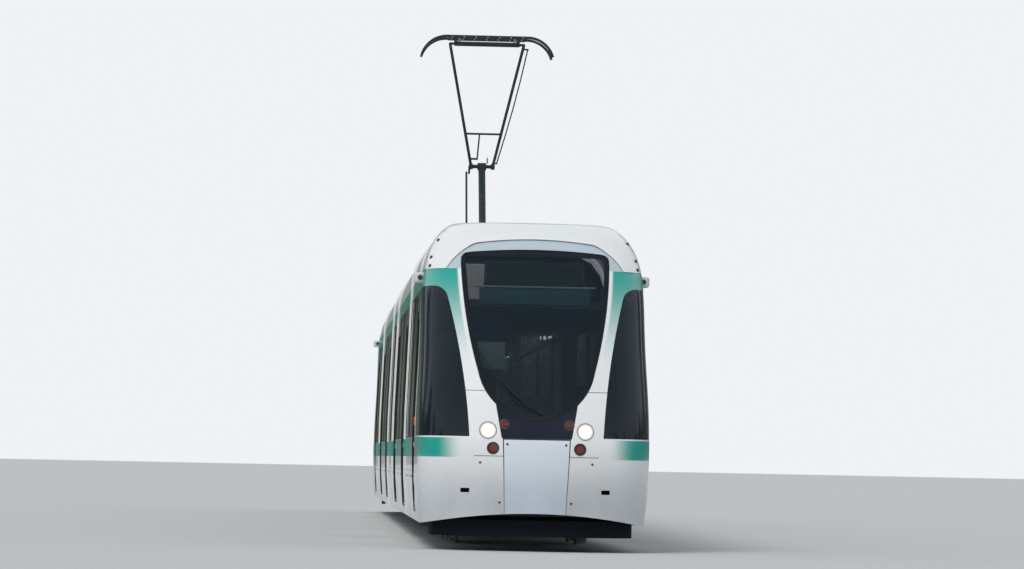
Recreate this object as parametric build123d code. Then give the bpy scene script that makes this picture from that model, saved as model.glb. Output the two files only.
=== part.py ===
from build123d import *
import math
import os

os.makedirs("parts", exist_ok=True)

# Five-section tram, in millimetres: X towards the front cab, Y to the left, Z up from the flange tips
# Lengths along the vehicle, from its middle to the tip of the nose
inner_pivot = 1700
link_length = 7600
cab_length = 6800
nose_length = 2050
joint_half = 280
outer_pivot = inner_pivot + link_length
nose_tip = outer_pivot + cab_length
nose_seam = nose_tip - nose_length
centre_half = inner_pivot - joint_half
link_back = inner_pivot + joint_half
link_front = outer_pivot - joint_half
cab_back = outer_pivot + joint_half

# Heights above the flange tips
skirt_low = 270
floor_low = 290
floor_top = 370
raised_low = 440
raised_top = 480
glass_low = 1170
glass_high = 2740
ceiling_low = 2560
ceiling_top = 2640
cant = 2920
roof_top = 3450

# Body widths and wall thicknesses
inner_half = 1075
shell_wall = 45
cove_wall = 40
pane = 12
seam = 8
panel_gap = 4
seat_gap = 0.3
portal_wall = 60

# Body stations: height, half width, setback behind the tip, further setback below the brow
stations = [
    (skirt_low, 1160, 120, 0),
    (720, 1195, 27, 0),
    (1120, 1200, 12, 0),
    (1520, 1195, 133, 0),
    (2220, 1172, 490, 0),
    (cant, 1148, 900, 14),
    (3280, 1020, 1290, 28),
    (roof_top, 815, 1900, 28),
]
front_radius = 2300
corner_radius = 600
cap_back = nose_seam - 1150
loft_back = cap_back - 150

# Side door and window layout
door_low = 370
door_high = 2520
leaf_inner = 1130
leaf_rim = 55
leaf_corner = 40
window_corner = 70
pillar = 80
door_post = 450
link_door = 1300
cab_door_front = nose_seam - 200
cab_door = (cab_door_front - 850, cab_door_front)
cab_windows = (cab_back + 120, cab_door[0] - 120)
link_doors = [(link_back + door_post, link_back + door_post + link_door),
              (link_front - door_post - link_door, link_front - door_post)]
link_windows = (link_doors[0][1] + 70, link_doors[1][0] - 70)
centre_windows = (220 - centre_half, centre_half - 220)

# Running gear
wheel_base = 1600
outer_bogie = outer_pivot + 1700
tread_radius = 295
flange_radius = 317
axle_radius = 65
bearing_clearance = 0.08
flange_back = 650

# Gangway, floor disc and pivot
gangway_half = 640
gangway_high = 2400
disc_radius = 620
disc_gap = 6
pin_radius = 60

# Pantograph
arm_base_x = 500
arm_base_z = 3640
lower_length = 1690
lower_angle = 127
upper_length = 1904
upper_angle = 57.7
rod_offset = (-300, -60)
crank = 150
crank_angle = 158.2
head_half = 910
strip_half = 520
strip_spacing = 400

parts = {}


def half_width(height):
    """Half width of the flank at a height, straight between the stations."""
    for (low, wide, *_), (high, narrow, *_) in zip(stations, stations[1:]):
        if low <= height <= high:
            return wide + (narrow - wide) * (height - low) / (high - low)
    return stations[0][1]


def block(x0, x1, y0, y1, z0, z1):
    """A box between two corners."""
    return Pos((x0 + x1) / 2, (y0 + y1) / 2, (z0 + z1) / 2) * Box(x1 - x0, y1 - y0, z1 - z0)


def across(points, y0, y1):
    """An outline in X and Z, drawn from y0 to y1."""
    face = make_face(Polyline(*points, close=True))
    return extrude(Plane.XZ.offset(-y1) * face, y1 - y0)


def along(face, x0, x1):
    """A face in Y and Z, drawn from x0 to x1."""
    return extrude(Plane.YZ.offset(x0) * face, x1 - x0)


def flank_points(z0, z1, inset):
    """The flank's outline from z0 up to z1, moved inwards."""
    heights = [z0] + [row[0] for row in stations if z0 < row[0] < z1] + [z1]
    return [(half_width(height) - inset, height) for height in heights]


def side_wall(x0, x1, z0, z1, inner, inset=0.0):
    """A left panel with the flank's outer face and a flat inner face."""
    outline = flank_points(z0, z1, inset) + [(inner, z1), (inner, z0)]
    return along(make_face(Polyline(*outline, close=True)), x0, x1)


def side_skin(x0, x1, z0, z1, inset, thick):
    """A left pane that follows the flank."""
    inner = flank_points(z0, z1, inset + thick)
    outline = flank_points(z0, z1, inset) + inner[::-1]
    return along(make_face(Polyline(*outline, close=True)), x0, x1)


def window_cutter(x0, x1, z0, z1, corner, shrink=0.0):
    """A prism across the left wall with rounded corners."""
    face = RectangleRounded(x1 - x0 - 2 * shrink, z1 - z0 - 2 * shrink, corner)
    place = Plane.XZ.offset(-1400) * Pos((x0 + x1) / 2, (z0 + z1) / 2) * face
    return extrude(place, 400)


def both(shape):
    """The left piece and its mirror image on the right."""
    return [shape, mirror(shape, about=Plane.XZ)]


def turned(shape):
    """The same piece at the other end of the vehicle, half a turn about Z."""
    return mirror(mirror(shape, about=Plane.XZ), about=Plane.YZ)


def nose_section(height, half, tip, inset):
    """A level outline of the nose: flanks, two corner arcs and a shallow front arc."""
    big = front_radius - inset
    small = corner_radius - inset
    centre = tip - big
    corner_x = centre + math.sqrt((big - small) ** 2 - (half - small) ** 2)
    ux = (corner_x - centre) / (big - small)
    uy = (half - small) / (big - small)
    bisector = math.hypot(ux, uy + 1)
    mid_x = corner_x + small * ux / bisector
    mid_y = half - small + small * (uy + 1) / bisector
    join_x = centre + big * ux
    join_y = big * uy
    edges = [
        Line((loft_back, -half), (corner_x, -half)),
        ThreePointArc((corner_x, -half), (mid_x, -mid_y), (join_x, -join_y)),
        ThreePointArc((join_x, -join_y), (tip, 0), (join_x, join_y)),
        ThreePointArc((join_x, join_y), (mid_x, mid_y), (corner_x, half)),
        Line((corner_x, half), (loft_back, half)),
        Line((loft_back, half), (loft_back, -half)),
    ]
    return Pos(0, 0, height) * make_face(edges)


def nose_body(inset, under_brow=True):
    """The nose and cab dome as one loft, moved inwards and, towards the roof, downwards."""
    sections = []
    for height, half, setback, lean in stations:
        drop = inset * min(max((height - 1500) / 1500, 0), 1)
        level = height - drop
        if height == skirt_low and inset > 0:
            level = skirt_low - shell_wall
        tip = nose_tip - setback - inset - (lean if under_brow else 0)
        sections.append(nose_section(level, half - inset, tip, inset))
    return loft(sections)


# Front-view outlines of the nose, in Y and Z
shield_low = 1340
shield_join = (600, 1840)
shield_mid = (735, 2490)
shield_top = (780, 3090)
shield_bow = 40
shield_corner = 100
brow_crown = 3250
brow_shoulder = (620, 3205)
brow_drop = (800, 3085)
brow_end = (930, 2925)
corner_glass = [(686, glass_low), (775, 1975), (943, glass_high)]
corner_glass_round = 150
mask_low = (360, 1158)
mask_high = (425, 1530)
cover_top = (337, 1142)
cover_low = (306, 390)
headlamp = (498, 1236, 85)
tail_lamp = (445, 1054, 60)
apron_half = 1160


def shield_face(gap):
    """The windscreen's outline, moved inwards: a rounded foot, bowed sides and a bowed head."""
    y1, z1 = shield_join[0] - gap, shield_join[1]
    y2, z2 = shield_mid[0] - gap, shield_mid[1]
    y3, z3 = shield_top[0] - gap, shield_top[1] - gap
    edges = [
        ThreePointArc((-y1, z1), (0, shield_low + gap), (y1, z1)),
        ThreePointArc((y1, z1), (y2, z2), (y3, z3)),
        ThreePointArc((y3, z3), (0, z3 + shield_bow), (-y3, z3)),
        ThreePointArc((-y3, z3), (-y2, z2), (-y1, z1)),
    ]
    face = make_face(edges)
    upper = [vertex for vertex in face.vertices() if vertex.Y > z3 - 1]
    return fillet(upper, shield_corner)


def corner_face(gap):
    """The left corner window, moved inwards, open outwards past the flank."""
    low = (corner_glass[0][0] + gap, corner_glass[0][1] + gap)
    mid = (corner_glass[1][0] + gap, corner_glass[1][1])
    high = (corner_glass[2][0] + gap, corner_glass[2][1] - gap)
    edges = [
        ThreePointArc(low, mid, high),
        Line(high, (1400, high[1])),
        Line((1400, high[1]), (1400, low[1])),
        Line((1400, low[1]), low),
    ]
    face = make_face(edges)
    top = [vertex for vertex in face.vertices() if vertex.X < 1200 and vertex.Y > low[1] + 100]
    return fillet(top, corner_glass_round)


def mask_face(gap):
    """The black panel between the windscreen's foot and the coupler cover, up to the glass."""
    low_y, low_z = mask_low[0] - gap, mask_low[1] + gap
    high_y, high_z = mask_high[0] - gap, mask_high[1]
    outline = [(-low_y, low_z), (low_y, low_z), (high_y, high_z), (-high_y, high_z)]
    return make_face(Polyline(*outline, close=True)) - shield_face(0)


def cover_face(gap):
    """The coupler cover below the black panel."""
    top_y, top_z = cover_top[0] - gap, cover_top[1] - gap
    low_y, low_z = cover_low[0] - gap, cover_low[1]
    outline = [(-low_y, low_z - 200), (low_y, low_z - 200), (top_y, top_z), (-top_y, top_z)]
    return make_face(Polyline(*outline, close=True))


def brow_face():
    """Everything above the brow's lip: a flat arch that drops to the flanks at both ends."""
    side, high = 1400, roof_top + 200
    y1, z1 = brow_shoulder
    y2, z2 = brow_drop
    y3, z3 = brow_end
    return make_face([
        ThreePointArc((-y1, z1), (0, brow_crown), (y1, z1)),
        ThreePointArc((y1, z1), (y2, z2), (y3, z3)),
        Polyline((y3, z3), (side, z3), (side, high), (-side, high), (-side, z3), (-y3, z3)),
        ThreePointArc((-y3, z3), (-y2, z2), (-y1, z1)),
    ])


def front_prism(face):
    """A front-view outline drawn back through the nose."""
    return along(face, nose_seam + 300, nose_tip + 100)


outer = nose_body(0)
hollow = nose_body(shell_wall)
brow_outer = nose_body(0, False)
brow_hollow = nose_body(shell_wall, False)
front_half = block(nose_seam, nose_tip + 200, -1400, 1400, 0, 3600)
above_brow = along(brow_face(), nose_seam - 10, nose_tip + 100)
shell = (outer - hollow) - above_brow + ((brow_outer - brow_hollow) & above_brow)
shell &= front_half

# Openings of the nose: windscreen, corner glass, black panel, coupler cover, lamps and the arched apron
apron_arc = make_face([
    ThreePointArc((-apron_half, skirt_low), (0, cover_low[1]), (apron_half, skirt_low)),
    Polyline((apron_half, skirt_low), (apron_half, 100), (-apron_half, 100), (-apron_half, skirt_low)),
])
corner_post = 70
corner_cut = along(corner_face(0), nose_seam + corner_post, nose_tip + 100)
lamp_places = [(side * y, z, radius) for side in (-1, 1) for y, z, radius in (headlamp, tail_lamp)]
nose = shell - front_prism(shield_face(0)) - corner_cut - mirror(corner_cut, about=Plane.XZ)
nose -= front_prism(mask_face(0)) + front_prism(cover_face(0)) + front_prism(apron_arc)
for y, z, radius in lamp_places:
    nose -= front_prism(Pos(y, z) * Circle(radius))

# Sockets in the apron, and the moulded joints round the cover, across the legs and at the waist
socket_y, socket_z = 720, 620
joint_wide, joint_deep = 6, 5
leg_joint_z, waist_joint_z = 1640, 970
for side in (-1, 1):
    nose -= front_prism(Pos(side * socket_y, socket_z) * RectangleRounded(90, 45, 8))
joints = front_prism(cover_face(-joint_wide))
joints += block(nose_tip - 1200, nose_tip, -1000, 1000, leg_joint_z, leg_joint_z + joint_wide)
joints += block(nose_tip - 1200, nose_tip, -640, 640, waist_joint_z, waist_joint_z + joint_wide)
parts["cab_nose"] = nose - (joints & (outer - nose_body(joint_deep)))

# Windscreen and corner glass
glass_layer = nose_body(3) - nose_body(3 + pane)
windscreen = glass_layer & front_prism(shield_face(seat_gap))
corner_pane = glass_layer & along(corner_face(seat_gap), nose_seam + corner_post + seat_gap, nose_tip)
nose_glass = [windscreen] + both(corner_pane)

# Black panel and coupler cover
parts["cab_mask"] = (nose_body(2) - nose_body(22)) & front_prism(mask_face(seat_gap))
cover = (outer - nose_body(30)) & front_prism(cover_face(seat_gap))
parts["cab_coupler_cover"] = cover - front_prism(apron_arc)

# Head and tail lamps in the nose, and raised turn lamps on the flanks behind it
lamp_layer = nose_body(2) - nose_body(shell_wall - 1)
turn_lamp = (nose_seam - 140, nose_seam - 60, 1285, 1375)
turn_proud = 12
lamps = [lamp_layer & front_prism(Pos(y, z) * Circle(radius - seat_gap)) for y, z, radius in lamp_places]
turn_lens = side_skin(*turn_lamp, -turn_proud, shell_wall) & window_cutter(*turn_lamp, 20, seat_gap)
parts["cab_lamps"] = lamps + both(turn_lens)

# Camera pods on the upper flanks, rounded like the mirrors that they replace
pod = block(nose_seam + 110, nose_seam + 350, 1060, 1250, 2790, 2900)
pod = fillet(pod.edges().filter_by(Axis.Z).sort_by(Axis.Y)[-2:], 80)
pod = fillet(pod.edges().group_by(Axis.Z)[-1] + pod.edges().group_by(Axis.Z)[0], 25)
parts["cab_cameras"] = both(pod - nose_body(-seat_gap))


def wall_with_openings(x0, x1, windows, doors):
    """A left side wall with its windows and door openings cut."""
    wall = side_wall(x0, x1, skirt_low, cant, inner_half)
    for low, high in windows:
        wall -= window_cutter(low, high, glass_low, glass_high, window_corner)
    for low, high in doors:
        wall -= block(low, high, 1000, 1300, door_low, door_high)
    return wall


def panes(windows):
    """The left window panes, bonded flush in the wall."""
    made = []
    for low, high in windows:
        skin = side_skin(low, high, glass_low, glass_high, 3, pane)
        made.append(skin & window_cutter(low, high, glass_low, glass_high, window_corner, seat_gap))
    return made


def split(span, count):
    """Equal window spans with pillars between them."""
    low, high = span
    width = (high - low - (count - 1) * pillar) / count
    return [(low + i * (width + pillar), low + i * (width + pillar) + width) for i in range(count)]


def door_leaves(low, high, count):
    """Left door leaves and their panes: each leaf stands on the sill."""
    width = (high - low - (count + 1) * panel_gap) / count
    leaves = []
    glasses = []
    for i in range(count):
        start = low + panel_gap + i * (width + panel_gap)
        end = start + width
        leaf = side_wall(start, end, door_low, door_high - panel_gap, leaf_inner, 6)
        frame = (start + leaf_rim, end - leaf_rim, door_low + 90, door_high - 70)
        leaves.append(leaf - window_cutter(*frame, leaf_corner))
        skin = side_skin(frame[0], frame[1], frame[2], frame[3], 8, pane)
        glasses.append(skin & window_cutter(*frame, leaf_corner, seat_gap))
    return leaves, glasses


cove_bulge = (1060, 3235)


def cove_face():
    """The left half of a roof's outline in Y and Z: ceiling, upstand and curved cove."""
    top = stations[-1][1]
    mid_y, mid_z = cove_bulge
    outer_low = (half_width(cant), cant)
    inner_low = (half_width(cant) - cove_wall, cant + cove_wall)
    inner_high = (top - 12, roof_top - cove_wall)
    upstand_inner = inner_half - cove_wall
    edges = [
        Polyline((0, ceiling_low), (inner_half, ceiling_low), (inner_half, cant), outer_low),
        ThreePointArc(outer_low, (mid_y, mid_z), (top, roof_top)),
        Line((top, roof_top), inner_high),
        ThreePointArc(inner_high, (mid_y - cove_wall * 0.85, mid_z - cove_wall * 0.5), inner_low),
        Polyline(inner_low, (upstand_inner, cant + cove_wall), (upstand_inner, ceiling_top),
                 (0, ceiling_top), (0, ceiling_low)),
    ]
    return make_face(edges)


def roof_tray(x0, x1, closed):
    """A ceiling slab with curved coves; closed roofs also get a deck between the coves."""
    tray = along(cove_face(), x0, x1)
    tray = tray + mirror(tray, about=Plane.XZ)
    if closed:
        edge = stations[-1][1] - 6
        tray += block(x0, x1, -edge, edge, roof_top - cove_wall, roof_top)
    return tray


def portal(x0, x1):
    """An end frame round the gangway, hanging from the ceiling down to the floor."""
    frame = block(x0, x1, -inner_half, inner_half, floor_top, ceiling_low)
    return frame - block(x0 - 1, x1 + 1, -gangway_half, gangway_half, floor_top - 1, gangway_high)


def floor_profile(x0, x1, bogie_x):
    """A floor outline in X and Z that rises over a bogie."""
    run = [(-1360, floor_top), (-940, raised_top), (940, raised_top), (1360, floor_top)]
    under = [(1300, floor_low), (960, raised_low), (-960, raised_low), (-1300, floor_low)]
    points = [(x0, floor_top)] + [(bogie_x + x, z) for x, z in run] + [(x1, floor_top), (x1, floor_low)]
    return points + [(bogie_x + x, z) for x, z in under] + [(x0, floor_low)]


podium_half = 1180
podium_inner = 540
podium_top = 700
podium_wall = 20
podium_roof = 30


def bogie_floor(x0, x1, bogie_x):
    """A floor with a raised aisle over a bogie, and the two wheel boxes that stand on it."""
    slab = across(floor_profile(x0, x1, bogie_x), -inner_half, inner_half)
    low, high = bogie_x - podium_half, bogie_x + podium_half
    well_low, well_high = low + podium_wall, high - podium_wall
    well_side = podium_inner + podium_wall
    wells = block(well_low, well_high, well_side, inner_half, 200, 900)
    cover = block(low, high, podium_inner, inner_half, floor_top, podium_top)
    cover = fillet(cover.edges().filter_by(Axis.X).sort_by(Axis.Z)[-2:].sort_by(Axis.Y)[:1], 40)
    cover -= block(well_low, well_high, well_side, inner_half + 1, 200, podium_top - podium_roof)
    cover -= block(bogie_x - 1000, bogie_x + 1000, podium_inner - 1, well_side + 1, 200, raised_low)
    cover -= Pos(0, 0, seat_gap) * slab
    return slab - wells - mirror(wells, about=Plane.XZ), both(cover)


eye_low, eye_high = 250, 290
eye_radius = 150
tongue_reach = joint_half + 400
plate_low = 205
plate_thick = 40
plate_half = 130
disc_thick = 20


def eye_end(pivot, side):
    """The carrying end of a pivot: a floor disc and an eye below it. side is the way it points."""
    eye_z = (eye_low + eye_high) / 2
    root, tip = sorted((pivot, pivot - side * tongue_reach))
    arm = block(root, tip, -eye_radius, eye_radius, eye_low, eye_high)
    arm += Pos(pivot, 0, eye_z) * Cylinder(eye_radius, eye_high - eye_low)
    neck = Pos(pivot - side * 400, 0, (eye_high + floor_top) / 2) * Box(360, 200, floor_top - eye_high)
    disc = Pos(pivot, 0, floor_top - disc_thick / 2) * Cylinder(disc_radius, disc_thick)
    return disc + neck + arm - Pos(pivot, 0, eye_z) * Cylinder(pin_radius, 100)


def pin_end(pivot, side, foot_top):
    """The carried end of a pivot: a plate with a pin. side is the way the body lies from the pivot."""
    foot = disc_radius + disc_gap + 10
    heel = foot + 150
    plate = block(*sorted((pivot, pivot + side * heel)), -plate_half, plate_half, plate_low,
                  plate_low + plate_thick)
    plate += Pos(pivot, 0, plate_low + plate_thick / 2) * Cylinder(plate_half, plate_thick)
    rise = sorted((pivot + side * foot, pivot + side * heel))
    plate += block(*rise, -plate_half, plate_half, plate_low, foot_top)
    pin_height = eye_high - plate_low
    pin = Pos(pivot, 0, plate_low + pin_height / 2) * Cylinder(pin_radius - bearing_clearance, pin_height)
    return plate + pin


def disc_cut(pivot):
    """Clearance for a pivot's floor disc and eye in the carried floor."""
    return Pos(pivot, 0, floor_top) * Cylinder(disc_radius + disc_gap, 300)


# Front cab section
wall_front = nose_seam - seam
cab_wall = wall_with_openings(cab_back, wall_front, split(cab_windows, 2), [cab_door])
cab_wall -= window_cutter(*turn_lamp, 20)
parts["cab_walls"] = both(cab_wall)
cab_leaves, cab_door_panes = door_leaves(*cab_door, 1)
parts["cab_doors"] = [piece for leaf in cab_leaves for piece in both(leaf)]
cab_panes = panes(split(cab_windows, 2)) + cab_door_panes
parts["cab_glazing"] = nose_glass + [piece for glass in cab_panes for piece in both(glass)]

cap = (brow_outer - brow_hollow) & block(cap_back, wall_front, -1300, 1300, cant, roof_top + 10)
ceiling_front = block(cap_back, wall_front, -inner_half, inner_half, ceiling_low, ceiling_top)
cab_roof = roof_tray(cab_back, cap_back, True) + ceiling_front + cap
parts["cab_roof"] = cab_roof + portal(cab_back, cab_back + portal_wall)

# Cab floor with the driver's platform, a lifeguard below the apron and a towing lug
cab_floor, cab_wheel_boxes = bogie_floor(cab_back, nose_seam, outer_bogie)
front_room = block(nose_seam, nose_tip - 500, -1200, 1200, floor_low, floor_top)
cab_floor += nose_body(shell_wall + seat_gap) & front_room
guard_low = 150
guard_high = 320
guard_inset = 120
guard_wall = 40
guard_zone = block(nose_seam + 200, nose_tip, -1200, 1200, 100, 400)
half, setback = stations[0][1:3]
guard_outer = nose_section(guard_low, half - guard_inset, nose_tip - setback - guard_inset, guard_inset)
back_inset = guard_inset + guard_wall
guard_inner = nose_section(guard_low, half - back_inset, nose_tip - setback - back_inset, back_inset)
guard_rim = extrude(guard_outer - guard_inner, guard_high - guard_low)
guard_plate = Pos(0, 0, floor_low - guard_low) * extrude(guard_inner, 20)
cab_floor += (guard_rim + guard_plate) & guard_zone
tow_x, tow_radius = nose_tip - 400, 25
tow_lug = across([(tow_x - 400, floor_low), (tow_x - 340, 230), (tow_x + 60, 230), (tow_x + 60, floor_low)],
                 -60, 60)
tow_lug -= Pos(tow_x, 0, 260) * Cylinder(tow_radius, 100)
cab_floor += tow_lug
cab_floor -= Pos(tow_x, 0, floor_low + 20) * Cylinder(tow_radius + 15, 40)
cab_floor -= disc_cut(outer_pivot)
jack_low = 240


def jack_pads(x):
    """Lifting pads under both sills."""
    outline = [(x - 140, floor_low), (x - 100, jack_low), (x + 100, jack_low), (x + 140, floor_low)]
    pad = across(outline, 900, 1060)
    return pad + mirror(pad, about=Plane.XZ)


cab_floor += pin_end(outer_pivot, 1, raised_low) + jack_pads(outer_bogie + 1700)
parts["cab_floor"] = [cab_floor] + cab_wheel_boxes


def rounded_across(points, radius, y0, y1):
    """An outline in X and Z with its corners rounded, drawn from y0 to y1."""
    face = make_face(Polyline(*points, close=True))
    return extrude(Plane.XZ.offset(-y1) * fillet(face.vertices(), radius), y1 - y0)


def bench(x, facing, y0, y1, base):
    """A moulded seat from y0 to y1 on a leg, facing forwards (1) or backwards (-1)."""
    outline = [(-20, 400), (430, 385), (440, 445), (60, 465), (-60, 1120), (-115, 1120)]
    points = [(x + facing * px, base + pz - 30) for px, pz in outline]
    seat = rounded_across(points, 20, y0, y1)
    middle = (y0 + y1) / 2
    leg = [(110, 0), (330, 0), (250, 370), (190, 370)]
    leg_points = [(x + facing * px, base + pz) for px, pz in leg]
    return seat + across(leg_points, middle - 60, middle + 60)


def benches(rows, base, width):
    """Seats in rows on both sides of the aisle: each row is a place and the way it faces."""
    made = []
    for x, facing in rows:
        made += both(bench(x, facing, inner_half - width, inner_half, base))
    return made


pole_radius = 17


def poles(places):
    """Handrail poles from floor to ceiling: each place is x, y and the floor's height."""
    height = [ceiling_low - base for _, _, base in places]
    return [Pos(x, y, base + h / 2) * Cylinder(pole_radius, h) for (x, y, base), h in zip(places, height)]


def podium_seats(bogie_x):
    """Facing pairs on the wheel boxes of a bogie."""
    made = []
    for offset_x, facing in ((-1040, 1), (-140, -1), (140, 1), (1040, -1)):
        seat = bench(bogie_x + offset_x, facing, inner_half - 480, inner_half, podium_top)
        made += both(seat)
    return made


# Partition behind the driver, with a doorway light and two side lights
partition_x = nose_seam - 150
partition_wall = 35
light_low, light_high = 1200, 2300
partition_front = partition_x + partition_wall
partition = block(partition_x, partition_front, -inner_half, inner_half, floor_top, ceiling_low)
for y, wide in ((-740, 440), (0, 760), (740, 440)):
    light = Pos(y, (light_low + light_high) / 2) * RectangleRounded(wide, light_high - light_low, 60)
    partition -= along(light, partition_x - 5, partition_front + 5)

# Desk, driver's seat and the destination display over the windscreen
desk_x = nose_tip - 550
desk_outline = [
    (desk_x, floor_top), (desk_x, 1120), (desk_x - 70, 1230), (desk_x - 400, 1230),
    (desk_x - 570, 1120), (desk_x - 570, 1060), (desk_x - 400, 1050), (desk_x - 350, floor_top),
]
desk = rounded_across(desk_outline, 24, -760, 760) & nose_body(shell_wall + 20)
seat_x = nose_seam + 350
seat_high = 830
driver_outline = [
    (seat_x - 260, seat_high), (seat_x + 230, seat_high - 10), (seat_x + 240, seat_high + 60),
    (seat_x - 150, seat_high + 90), (seat_x - 280, 1560), (seat_x - 370, 1560),
]
driver_seat = rounded_across(driver_outline, 28, -250, 250)
driver_seat += Pos(seat_x, 0, (floor_top + seat_high) / 2) * Cylinder(60, seat_high - floor_top)
driver_seat += Pos(seat_x, 0, floor_top + 20) * Cylinder(200, 40)
sign_x = nose_seam + 750
display_outline = [
    (wall_front, ceiling_low + 20), (sign_x, 2770), (sign_x + 130, 2770), (sign_x + 130, 3010),
    (sign_x - 40, 3010), (sign_x - 40, 2830), (wall_front, ceiling_top),
]
display = across(display_outline, -520, 520) & nose_body(shell_wall + 10)
door_pole_x = cab_door[0] - 70
cab_poles = poles([(door_pole_x, side * 700, floor_top) for side in (-1, 1)])
parts["cab_interior"] = [partition, desk, driver_seat, display] + podium_seats(outer_bogie) + cab_poles

beam_inner, beam_outer = 480, 600
cross_tube_radius = 70
motor_inner, motor_outer = 830, 1030
motor_low, motor_top = 215, 540
motor_half = 440
spring_x, spring_radius = 250, 85


def bogie(centre):
    """A bogie frame: inside beams with axle bores, cross tubes, motors, springs and track brakes."""
    outline = [(-920, 262), (-880, 225), (880, 225), (920, 262), (920, 385), (885, 420), (560, 420),
               (430, 380), (-430, 380), (-560, 420), (-885, 420), (-920, 385)]
    beam = rounded_across([(centre + x, z) for x, z in outline], 14, beam_inner, beam_outer)
    frame = beam + mirror(beam, about=Plane.XZ)
    for x in (-300, 300):
        frame += Pos(centre + x, 0, 320) * Cylinder(cross_tube_radius, 2000, rotation=(90, 0, 0))
    motor = block(centre - motor_half, centre + motor_half, motor_inner, motor_outer, motor_low, motor_top)
    motor = fillet(motor.edges().filter_by(Axis.X), 60)
    frame += motor + mirror(motor, about=Plane.XZ)
    spring_height = podium_top - podium_roof - motor_top
    spring_y = (motor_inner + motor_outer) / 2
    for x in (-spring_x, spring_x):
        for y in (-spring_y, spring_y):
            spring = Cylinder(spring_radius, spring_height + 2)
            frame += Pos(centre + x, y, motor_top + spring_height / 2 - 1) * spring
    rail_line = flange_back + 67
    shoe_outline = [(-330, 60), (-290, 34), (290, 34), (330, 60), (330, 130), (-330, 130)]
    hanger_outline = [(-330, 125), (-230, 125), (-230, 250), (230, 250), (230, 125), (330, 125), (330, 290),
                      (-330, 290)]
    for side in (-1, 1):
        middle = side * rail_line
        frame += across([(centre + x, z) for x, z in shoe_outline], middle - 35, middle + 35)
        frame += across([(centre + x, z) for x, z in hanger_outline], middle - 12, middle + 12)
    for x in (-wheel_base / 2, wheel_base / 2):
        bore = Cylinder(axle_radius + bearing_clearance, 1400, rotation=(90, 0, 0))
        frame -= Pos(centre + x, 0, flange_radius) * bore
    return frame


# Half a wheelset: distance from the middle of the axle, radius
wheel_profile = [
    (0, 0), (840, 0), (840, 55), (800, 55), (800, 95), (735, 95), (728, 160), (735, 245), (780, 250),
    (780, tread_radius - 3), (770, tread_radius - 2), (688, tread_radius + 1), (680, tread_radius + 8),
    (672, flange_radius - 3), (666, flange_radius), (658, flange_radius), (652, flange_radius - 6),
    (flange_back, 300), (flange_back, 245), (700, 240), (693, 160), (700, 95), (flange_back, 95),
    (flange_back, axle_radius), (0, axle_radius),
]


def wheelset(x):
    """Two wheels on their axle."""
    half = make_face(Polyline(*wheel_profile, close=True))
    right = revolve(Plane.YZ * half, Axis.Y, 360)
    return Pos(x, 0, flange_radius) * (right + mirror(right, about=Plane.XZ))


parts["cab_bogie"] = bogie(outer_bogie)

# Front link section, between the inner and the outer pivot
link_panes = split(link_windows, 2)
link_wall = wall_with_openings(link_back, link_front, link_panes, link_doors)
parts["link_walls"] = both(link_wall)
link_leaves, link_door_panes = [], []
for low, high in link_doors:
    leaves, glasses = door_leaves(low, high, 2)
    link_leaves += leaves
    link_door_panes += glasses
parts["link_doors"] = [piece for leaf in link_leaves for piece in both(leaf)]
parts["link_glazing"] = [piece for glass in panes(link_panes) + link_door_panes for piece in both(glass)]
link_roof = roof_tray(link_back, link_front, False)
link_roof += portal(link_back, link_back + portal_wall) + portal(link_front - portal_wall, link_front)
parts["link_roof"] = link_roof


def roof_box(x0, x1, half, top, corner):
    """A hollow housing with rounded upper edges and louvres in both sides."""
    housing = block(x0, x1, -half, half, ceiling_top, top)
    housing = fillet(housing.edges().filter_by(Axis.X).sort_by(Axis.Z)[-2:], corner)
    side = half - unit_wall
    housing -= block(x0 + unit_wall, x1 - unit_wall, -side, side, ceiling_top, top - corner)
    count = int((x1 - x0 - 2 * louvre_margin) // louvre_pitch) + 1
    middle = Pos((x0 + x1) / 2, 0, (ceiling_top + top) / 2 - 60)
    slot = Box(louvre_wide, 2 * half + 10, louvre_high)
    return housing - [middle * place * slot for place in GridLocations(louvre_pitch, 1, count, 1)]


def fan_opening(x, top, deep):
    """A round fan well with its hub and guard ring left standing."""
    well = Cylinder(fan_radius, deep)
    guard = Cylinder(fan_radius * 0.62, deep) - Cylinder(fan_radius * 0.56, deep)
    bars = Box(2 * fan_radius, 30, deep) + Box(30, 2 * fan_radius, deep)
    return Pos(x, 0, top - deep / 2 + 0.5) * (well - Cylinder(fan_radius * 0.24, deep) - guard - bars)


unit_wall = 25
louvre_pitch, louvre_wide, louvre_high, louvre_margin = 110, 60, 180, 160
fan_radius = 260
long_unit = (link_back + 1020, link_back + 4020, 720, 3330, 120)
short_unit = (link_front - 2720, link_front - 720, 650, 3250, 60)
unit = roof_box(*long_unit)
for step in (-900, 0, 900):
    unit -= fan_opening((long_unit[0] + long_unit[1]) / 2 + step, long_unit[3], long_unit[4] + 1)
unit += roof_box(*short_unit)
duct = block(long_unit[1] - unit_wall, short_unit[0] + unit_wall, -300, 300, ceiling_top, 2800)
parts["link_roof_unit"] = unit + duct
link_floor = block(link_back, link_front, -inner_half, inner_half, floor_low, floor_top)
link_floor -= disc_cut(inner_pivot)
link_floor += pin_end(inner_pivot, 1, floor_low) + eye_end(outer_pivot, 1)
parts["link_floor"] = link_floor + jack_pads(link_back + 270)
link_rows = [(link_windows[0] + 100, 1), (link_windows[0] + 1500, -1),
             (link_windows[1] - 1500, 1), (link_windows[1] - 100, -1)]
link_poles = poles([(x, side * 620, floor_top) for x in (link_windows[0] - 35, link_windows[1] + 35)
                    for side in (-1, 1)])
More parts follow.
